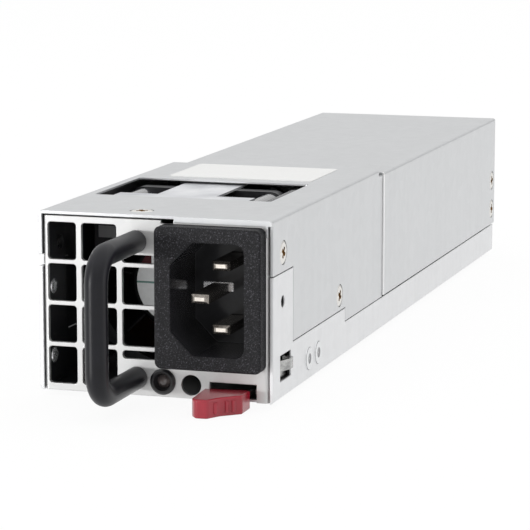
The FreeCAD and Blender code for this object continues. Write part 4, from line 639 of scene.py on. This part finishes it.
# middle and radius of a round piece's end face on the side that way points to
def endOf(piece, way, depth=0.2 * mm):
    axis = max(range(3), key=lambda i: abs(way[i]))
    place = (piece["low"] + piece["high"]) / 2
    place[axis] = piece["high"][axis] if way[axis] > 0 else piece["low"][axis]
    close = [p for p in piece["points"] if abs(p[axis] - place[axis]) < depth]
    radius = max((p - place).length for p in close)
    return place, radius


def newTree(name, sizes):
    tree = bpy.data.node_groups.new(name, "GeometryNodeTree")
    tree.interface.new_socket("Geometry", in_out="INPUT", socket_type="NodeSocketGeometry")
    for label, size in sizes.items():
        kind = "NodeSocketInt" if isinstance(size, int) else "NodeSocketFloat"
        tree.interface.new_socket(label, in_out="INPUT", socket_type=kind)
    for label in ("Finish", "Shade finish"):
        tree.interface.new_socket(label, in_out="INPUT", socket_type="NodeSocketMaterial")
    tree.interface.new_socket("Geometry", in_out="OUTPUT", socket_type="NodeSocketGeometry")
    return tree


# adds a node, sets its options, and wires or sets its inputs by name or number
def put(tree, kind, inputs=None, **options):
    node = tree.nodes.new(kind)
    for key, option in options.items():
        setattr(node, key, option)
    for key, given in (inputs or {}).items():
        socket = node.inputs[key]
        if isinstance(given, bpy.types.NodeSocket):
            tree.links.new(given, socket)
        else:
            socket.default_value = given
    return node


def work(tree, operation, first, second=0.0):
    return put(tree, "ShaderNodeMath", {0: first, 1: second}, operation=operation).outputs[0]


def triple(tree, x, y, z):
    return put(tree, "ShaderNodeCombineXYZ", {0: x, 1: y, 2: z}).outputs[0]


def lifted(tree, geometry, height):
    return put(tree, "GeometryNodeTransform", {
        "Geometry": geometry, "Translation": triple(tree, 0.0, 0.0, height)}).outputs[0]


# a value that the start points or the faces carry
def carried(tree, name, kind="FLOAT"):
    return put(tree, "GeometryNodeInputNamedAttribute", {"Name": name}, data_type=kind).outputs[0]


# turns an instance's up towards the way that its point carries
def stood(tree):
    way = carried(tree, "way", "FLOAT_VECTOR")
    return put(tree, "FunctionNodeAlignRotationToVector", {"Vector": way}, axis="Z").outputs[0]


def combined(tree, operation, base=None):
    return put(tree, "GeometryNodeMeshBoolean", base, operation=operation, solver="EXACT")


# marks faces that take the second finish, a darker one that paints shade in recesses
def shaded(tree, geometry, chosen=True):
    return put(tree, "GeometryNodeStoreNamedAttribute", {
        "Geometry": geometry, "Selection": chosen, "Name": "shade", "Value": 1.0},
        data_type="FLOAT", domain="FACE").outputs[0]


def closeTree(tree, geometry, given):
    real = put(tree, "GeometryNodeRealizeInstances", {0: geometry}).outputs[0]
    flat = put(tree, "GeometryNodeSetShadeSmooth", {
        "Geometry": real, "Shade Smooth": False}).outputs[0]
    dressed = put(tree, "GeometryNodeSetMaterial", {
        "Geometry": flat, "Material": given["Finish"]}).outputs[0]
    dressed = put(tree, "GeometryNodeSetMaterial", {
        "Geometry": dressed,
        "Selection": work(tree, "GREATER_THAN", carried(tree, "shade"), 0.5),
        "Material": given["Shade finish"]}).outputs[0]
    put(tree, "NodeGroupOutput", {0: dressed})


# leaves out the material slots that the tree left empty
def dropEmptySlots(mesh):
    worn = [mesh.materials[face.material_index] for face in mesh.polygons]
    kept = [material for material in mesh.materials if material]
    mesh.materials.clear()
    for material in kept:
        mesh.materials.append(material)
    for face, material in zip(mesh.polygons, worn):
        face.material_index = kept.index(material)


# runs a tree over a start mesh and keeps the result as one plain mesh
def growPiece(name, tree, sizes, finish, start, shade=None):
    carrier = bpy.data.objects.new(name + "Start", start)
    bpy.context.scene.collection.objects.link(carrier)
    modifier = carrier.modifiers.new("grow", "NODES")
    modifier.node_group = tree
    sockets = {item.name: item.identifier for item in tree.interface.items_tree
               if item.in_out == "INPUT"}
    for label, size in sizes.items():
        modifier[sockets[label]] = size
    modifier[sockets["Finish"]] = finish
    modifier[sockets["Shade finish"]] = shade or finish
    carrier.update_tag()
    bpy.context.view_layer.update()
    evaluated = carrier.evaluated_get(bpy.context.evaluated_depsgraph_get())
    mesh = bpy.data.meshes.new_from_object(evaluated)
    bpy.data.objects.remove(carrier)
    dropEmptySlots(mesh)
    mesh.name = name
    piece = bpy.data.objects.new(name, mesh)
    bpy.context.scene.collection.objects.link(piece)
    return piece


# points that carry an outward way, a radius and a rise, for the trees to read
def placedPoints(name, places):
    mesh = bpy.data.meshes.new(name)
    mesh.from_pydata([place for place, way, radius, rise in places], [], [])
    mesh.attributes.new("way", "FLOAT_VECTOR", "POINT")
    mesh.attributes.new("radius", "FLOAT", "POINT")
    mesh.attributes.new("rise", "FLOAT", "POINT")
    for number, (place, way, radius, rise) in enumerate(places):
        mesh.attributes["way"].data[number].vector = way
        mesh.attributes["radius"].data[number].value = radius
        mesh.attributes["rise"].data[number].value = rise
    return mesh


# the way out of the case at a fastener, from the wall it is nearest
def wayOut(piece):
    near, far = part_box("base_chassis")
    gaps = {(-1, 0, 0): piece["low"].x - near[0],
            (1, 0, 0): far[0] - piece["high"].x,
            (0, 0, 1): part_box("front_cover")[1][2] - piece["high"].z}
    return min(gaps, key=lambda way: gaps[way])


# inputs of the screw heads' tree, with lengths in metres
crossScrew = {
    "Rim": 0.16,          # share of the radius that the bevelled rim takes
    "Thickness": 0.0007,
    "Recess": 0.52,       # recess length over the head's radius, each way
    "Slot": 0.0009,
    "Depth": 0.00045,
    "Turn": 0.6,          # most that a head is turned, in radians
    "Seed": 7,
}
headUnit = 0.0026         # radius in metres of the head that is instanced and scaled
headSides = 32
rimSlope = 0.45           # height of the rim over its width
headShare = 0.985         # of the radius of the CAD head


# a flat screw head with a chamfered rim and a cross recess sunk into it
def screwTree(settings, unit=headUnit):
    tree = newTree("crossScrewHeads", settings)
    given = tree.nodes.new("NodeGroupInput").outputs
    body = put(tree, "GeometryNodeMeshCylinder", {
        "Vertices": headSides, "Radius": unit, "Depth": given["Thickness"]}).outputs["Mesh"]
    body = lifted(tree, body, work(tree, "MULTIPLY", given["Thickness"], -0.5))
    # the rim: a low cone over the lowered cylinder leaves a chamfer round the face
    rise = work(tree, "MULTIPLY", given["Rim"], unit)
    cap = put(tree, "GeometryNodeMeshCone", {
        "Vertices": headSides, "Radius Top": work(tree, "SUBTRACT", unit, rise),
        "Radius Bottom": unit, "Depth": work(tree, "MULTIPLY", rise, rimSlope)}).outputs["Mesh"]
    drop = work(tree, "MULTIPLY", rise, -rimSlope)
    solid = combined(tree, "UNION", {"Mesh": lifted(tree, cap, drop)})
    tree.links.new(lifted(tree, body, drop), solid.inputs["Mesh 2"])
    length = work(tree, "MULTIPLY", given["Recess"], unit * 2)
    deep = work(tree, "MULTIPLY", given["Depth"], 2.0)
    cross = combined(tree, "UNION")
    for wide, tall in ((length, given["Slot"]), (given["Slot"], length)):
        arm = put(tree, "GeometryNodeMeshCube", {
            "Size": triple(tree, wide, tall, deep)}).outputs["Mesh"]
        tree.links.new(arm, cross.inputs["Mesh 2"])
    head = combined(tree, "DIFFERENCE", {"Mesh 1": solid.outputs["Mesh"]})
    tree.links.new(shaded(tree, cross.outputs["Mesh"]), head.inputs["Mesh 2"])
    spin = put(tree, "FunctionNodeRandomValue", {"Seed": given["Seed"]}, data_type="FLOAT")
    tree.links.new(work(tree, "MULTIPLY", given["Turn"], -1.0), spin.inputs[2])
    tree.links.new(given["Turn"], spin.inputs[3])
    turned = put(tree, "FunctionNodeAxisAngleToRotation", {
        "Axis": (0, 0, 1), "Angle": spin.outputs[1]}).outputs[0]
    both = put(tree, "FunctionNodeRotateRotation", {
        "Rotation": stood(tree), "Rotate By": turned}, rotation_space="LOCAL").outputs[0]
    grown = work(tree, "DIVIDE", carried(tree, "radius"), unit)
    placed = put(tree, "GeometryNodeInstanceOnPoints", {
        "Points": given["Geometry"], "Instance": head.outputs["Mesh"], "Rotation": both,
        "Scale": triple(tree, grown, grown, 1.0)}).outputs[0]
    closeTree(tree, placed, given)
    return tree


def addScrewHeads(settings):
    places = []
    for piece in piecesOf("cover_screws"):
        way = wayOut(piece)
        place, radius = endOf(piece, way)
        places.append((place, way, radius * headShare, 0.0))
    heads = growPiece("screwHeads", screwTree(settings), settings, screwZinc,
                      placedPoints("screwPlaces", places), recessShade)
    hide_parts("cover_screws")
    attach(heads, "case")
    print("screw heads:", len(places))


# profiles are steps of (share of the radius, share of the rise, 1 where the face takes painted
# shade), and a rise of 0 goes down to the dimple
ringedRivet = {
    "sizes": {"Sides": 36, "Dimple": 0.45},    # dimple: depth of the middle over the head's rise
    "profile": ((0.985, 0.6, 0), (0.94, 0.95, 1), (0.90, 1.0, 0), (0.62, 0.97, 0),
                (0.44, 1.0, 0), (0.37, 0.5, 1), (0.30, 0.0, 1), (0.06, 0.0, 1)),
}
domedRivet = {
    "sizes": {"Sides": 36, "Dimple": 0.0},
    "profile": ((0.97, 0.40, 0), (0.88, 0.62, 0), (0.74, 0.80, 0), (0.55, 0.92, 0),
                (0.30, 0.99, 0), (0.08, 1.0, 0)),
}


# a low rivet head turned from its profile, and closed by its base
def rivetTree(name, settings, weld=0.0001):
    tree = newTree(name, settings["sizes"])
    given = tree.nodes.new("NodeGroupInput").outputs
    mesh = put(tree, "GeometryNodeMeshCircle", {"Vertices": given["Sides"], "Radius": 1.0},
               fill_type="NGON").outputs["Mesh"]
    base = put(tree, "GeometryNodeFlipFaces", {"Mesh": mesh}).outputs[0]
    dimple = work(tree, "SUBTRACT", 1.0, given["Dimple"])
    reach, rise, top = 1.0, 0.0, None
    for share, height, dark in settings["profile"]:
        height = height or dimple
        ring = put(tree, "GeometryNodeExtrudeMesh", {"Mesh": mesh, "Offset Scale": 0.0},
                   mode="FACES")
        if top is not None:
            tree.links.new(top, ring.inputs["Selection"])
        mesh, top = ring.outputs["Mesh"], ring.outputs["Top"]
        # painted shade on the sides of this step
        if dark:
            mesh = shaded(tree, mesh, ring.outputs["Side"])
        mesh = put(tree, "GeometryNodeScaleElements", {
            "Geometry": mesh, "Selection": top, "Scale": share / reach},
            domain="FACE").outputs[0]
        lift = triple(tree, 0.0, 0.0, work(tree, "SUBTRACT", height, rise))
        mesh = put(tree, "GeometryNodeSetPosition", {
            "Geometry": mesh, "Selection": top, "Offset": lift}).outputs[0]
        reach, rise = share, height
    closed = put(tree, "GeometryNodeJoinGeometry")
    tree.links.new(mesh, closed.inputs[0])
    tree.links.new(base, closed.inputs[0])
    mesh = put(tree, "GeometryNodeMergeByDistance", {
        "Geometry": closed.outputs[0], "Distance": weld}).outputs[0]
    radius = carried(tree, "radius")
    placed = put(tree, "GeometryNodeInstanceOnPoints", {
        "Points": given["Geometry"], "Instance": mesh, "Rotation": stood(tree),
        "Scale": triple(tree, radius, radius, carried(tree, "rise"))}).outputs[0]
    closeTree(tree, placed, given)
    return tree


# both ends of each rivet, head and tail mm high: the head outside the case and the upset tail
# inside it
def addRivets(node, name, head, tail):
    made = []
    for end, side, settings, rise, finish in (("Heads", 1, ringedRivet, head, rivetSteel),
                                              ("Tails", -1, domedRivet, tail, rivetTail)):
        places = []
        for piece in piecesOf(node):
            way = tuple(side * w for w in wayOut(piece))
            place, radius = endOf(piece, way)
            places.append((place - Vector(way) * rise * mm, way, radius, rise * mm))
        made.append(growPiece(name + end, rivetTree(name + end, settings), settings["sizes"],
                              finish, placedPoints(name + end + "Places", places), rivetShade))
    for ends in made:
        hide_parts(node)
        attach(ends, "case")
    print(name, len(made[0].data.polygons) + len(made[1].data.polygons), "faces")


addScrewHeads(crossScrew)
addRivets("latch_rivets", "latchRivet", 0.25, 0.5)
addRivets("panel_rivets", "panelRivet", 0.25, 0.8)


# lengths in metres
cornerPosts = {
    "radius": 0.00295,
    "pitch": 31.5 / 38,      # over the fan's width
    "flange": 0.0035,
    "bite": 0.0002,          # how far a post reaches into the flanges, both ends together
    "sides": 40,
    "wall": 0.0011,
    "drill": 1.2,            # length of the bore's cutter over the post's
}


# tubes round the fan's corner screws, from flange to flange
def addCornerPosts(settings):
    low, high = map(Vector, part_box("fan_frame"))
    middle = (low + high) / 2
    reach = (high.x - low.x) / 2 * settings["pitch"]
    length = high.y - low.y - settings["flange"] * 2
    sizes = {"Radius": settings["radius"], "Bore": settings["radius"] - settings["wall"],
             "Length": length + settings["bite"], "Sides": settings["sides"]}
    tree = newTree("cornerPosts", sizes)
    given = tree.nodes.new("NodeGroupInput").outputs
    ring = put(tree, "GeometryNodeMeshCylinder", {
        "Vertices": given["Sides"], "Radius": given["Radius"],
        "Depth": given["Length"]}).outputs["Mesh"]
    hole = put(tree, "GeometryNodeMeshCylinder", {
        "Vertices": given["Sides"], "Radius": given["Bore"],
        "Depth": work(tree, "MULTIPLY", given["Length"], settings["drill"])}).outputs["Mesh"]
    bored = combined(tree, "DIFFERENCE", {"Mesh 1": ring})
    tree.links.new(hole, bored.inputs["Mesh 2"])
    placed = put(tree, "GeometryNodeInstanceOnPoints", {
        "Points": given["Geometry"], "Instance": bored.outputs["Mesh"],
        "Rotation": stood(tree)}).outputs[0]
    closeTree(tree, placed, given)
    places = [((middle.x + across * reach, middle.y, middle.z + up * reach), (0, -1, 0), 1.0, 1.0)
              for across in (-1, 1) for up in (-1, 1)]
    posts = growPiece("fanCornerPosts", tree, sizes, litPostMoulding,
                      placedPoints("postPlaces", places))
    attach(posts, "case")
    print("fan corner posts:", len(places))


addCornerPosts(cornerPosts)


# a thin plate with eased edges, from its middle and its three sizes in metres
def easedPlate(name, middle, size, ease, finish):
    shape = bmesh.new()
    bmesh.ops.create_cube(shape, size=1.0)
    for vertex in shape.verts:
        vertex.co = Vector([c * s for c, s in zip(vertex.co, size)]) + Vector(middle)
    bmesh.ops.bevel(shape, geom=shape.edges[:], offset=ease, segments=3, affect="EDGES")
    mesh = bpy.data.meshes.new(name)
    shape.to_mesh(mesh)
    shape.free()
    mesh.materials.append(finish)
    plate = bpy.data.objects.new(name, mesh)
    bpy.context.scene.collection.objects.link(plate)
    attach(plate, "case")
    print(name, len(mesh.polygons), "faces")


# mm
pinShoulder = {
    "left": 4.4, "right": 2.6,      # from the earth blade's middle
    "height": 2.0, "thick": 0.3, "lift": 0.1,
    "shown": 0.4,                   # share of the thickness that is in front of the socket's floor
    "depth": 17.0,                  # of the socket, from its rim
    "ease": 0.12,
}


# plated shoulder of the earth blade, showing on both sides of its root
def addPinShoulder(settings):
    low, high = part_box("earth_pin")
    across = (low[0] + high[0]) / 2 + (settings["right"] - settings["left"]) / 2 * mm
    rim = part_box("inlet_housing")[0][1]
    back = rim + (settings["depth"] - settings["thick"] * settings["shown"]) * mm
    easedPlate("pinShoulder", (across, back, (low[2] + high[2]) / 2 + settings["lift"] * mm),
               ((settings["left"] + settings["right"]) * mm, settings["thick"] * mm,
                settings["height"] * mm),
               settings["ease"] * mm, rivetTail)


addPinShoulder(pinShoulder)


# mm
flangeLabel = {
    "in": 3.2, "down": 7.2,         # from the flange's upper left corner to the label's middle
    "width": 4.4, "height": 2.8, "thick": 0.14, "ease": 0.06,
    "proud": 0.4,                   # share of the thickness from the flange to the label's middle
}


# small blank grey label on the fan's front flange
def addFlangeLabel(settings):
    low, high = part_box("fan_frame")
    easedPlate("flangeLabel",
               (low[0] + settings["in"] * mm, low[1] - settings["thick"] * settings["proud"] * mm,
                high[2] - settings["down"] * mm),
               (settings["width"] * mm, settings["thick"] * mm, settings["height"] * mm),
               settings["ease"] * mm, greyFilm)


addFlangeLabel(flangeLabel)


# floor and light
studio = {
    "floorDrop": 0.05,     # mm below the lowest point
    "floorReach": 6.0,     # m from the middle
    "floorWhite": 0.92,    # the rest is lit paper, which takes the shadow
    "paper": (0.93, 0.93, 0.93, 1), "paperRoughness": 0.9,
    # light by height, nadir to zenith
    "sky": ((0.0, 0.24), (0.5, 0.38), (0.58, 0.76), (1.0, 0.93)),
    "target": (0, 0.08, 0.02),
    "key": {"place": (-0.74, -0.86, 0.055), "wide": 0.42, "tall": 0.10, "power": 5.2},
    "fill": {"place": (-0.44, -1.15, 0.35), "wide": 0.5, "tall": 0.4, "power": 0.6},
    "top": {"place": (0.05, 0.20, 1.10), "wide": 2.4, "tall": 2.4, "power": 7.6},
    "side": {"place": (1.08, 0.17, 0.16), "wide": 0.34, "tall": 0.30, "power": 0.5},
}


# nearly white where it is seen or mirrored, and paper for the light that falls on it
def paleFloor(settings):
    z = cadBox[0][2] - settings["floorDrop"] * mm
    reach = settings["floorReach"]
    mesh = bpy.data.meshes.new("floor")
    mesh.from_pydata([(-reach, -reach, z), (reach, -reach, z), (reach, reach, z),
                      (-reach, reach, z)], [], [(0, 1, 2, 3)])
    floor = bpy.data.objects.new("floor", mesh)
    bpy.context.scene.collection.objects.link(floor)
    material = bpy.data.materials.new("floorPaper")
    material.use_nodes = True
    tree = material.node_tree
    paper = nodeOf(tree, "BSDF_PRINCIPLED")
    paper.inputs["Base Color"].default_value = settings["paper"]
    paper.inputs["Roughness"].default_value = settings["paperRoughness"]
    white = put(tree, "ShaderNodeEmission", {"Strength": 1.0})
    path = put(tree, "ShaderNodeLightPath")
    seen = path.outputs["Is Camera Ray"]
    for other in ("Is Glossy Ray", "Is Transmission Ray"):
        seen = work(tree, "MAXIMUM", seen, path.outputs[other])
    share = work(tree, "MULTIPLY", seen, settings["floorWhite"])
    blend = put(tree, "ShaderNodeMixShader", {0: share, 1: paper.outputs[0], 2: white.outputs[0]})
    tree.links.new(blend.outputs[0], nodeOf(tree, "OUTPUT_MATERIAL").inputs["Surface"])
    mesh.materials.append(material)


def softBox(name, settings, target):
    lamp = bpy.data.lights.new(name, "AREA")
    lamp.shape = "RECTANGLE"
    lamp.size, lamp.size_y = settings["wide"], settings["tall"]
    lamp.energy = settings["power"]
    held = bpy.data.objects.new(name, lamp)
    held.location = settings["place"]
    held.rotation_euler = (Vector(target) - held.location).to_track_quat("-Z", "Y").to_euler()
    bpy.context.scene.collection.objects.link(held)


# an even pale grey where it is seen directly, and for the light a sky that is darker below
def whiteWorld(settings):
    world = bpy.data.worlds.new("studioWorld")
    bpy.context.scene.world = world
    world.use_nodes = True
    tree = world.node_tree
    ground = nodeOf(tree, "BACKGROUND")
    around = put(tree, "ShaderNodeTexCoord").outputs["Generated"]
    split = put(tree, "ShaderNodeSeparateXYZ", {0: around})
    half = put(tree, "ShaderNodeMath", {0: split.outputs["Z"], 1: 0.5, 2: 0.5},
               operation="MULTIPLY_ADD").outputs[0]
    band = put(tree, "ShaderNodeValToRGB", {0: half})
    stops = band.color_ramp.elements
    for height, light in settings["sky"][1:-1]:
        stops.new(height)
    for stop, (height, light) in zip(stops, settings["sky"]):
        stop.position = height
        stop.color = (light, light, light, 1)
    tree.links.new(band.outputs[0], ground.inputs["Color"])
    plain = put(tree, "ShaderNodeBackground", {"Strength": 1.0}).outputs[0]
    path = put(tree, "ShaderNodeLightPath")
    blend = put(tree, "ShaderNodeMixShader", {
        0: path.outputs["Is Camera Ray"], 1: ground.outputs[0], 2: plain})
    tree.links.new(blend.outputs[0], nodeOf(tree, "OUTPUT_WORLD").inputs["Surface"])


paleFloor(studio)
whiteWorld(studio)
for lampName in ("key", "fill", "top", "side"):
    softBox(lampName + "Light", studio[lampName], studio["target"])
print("studio set")
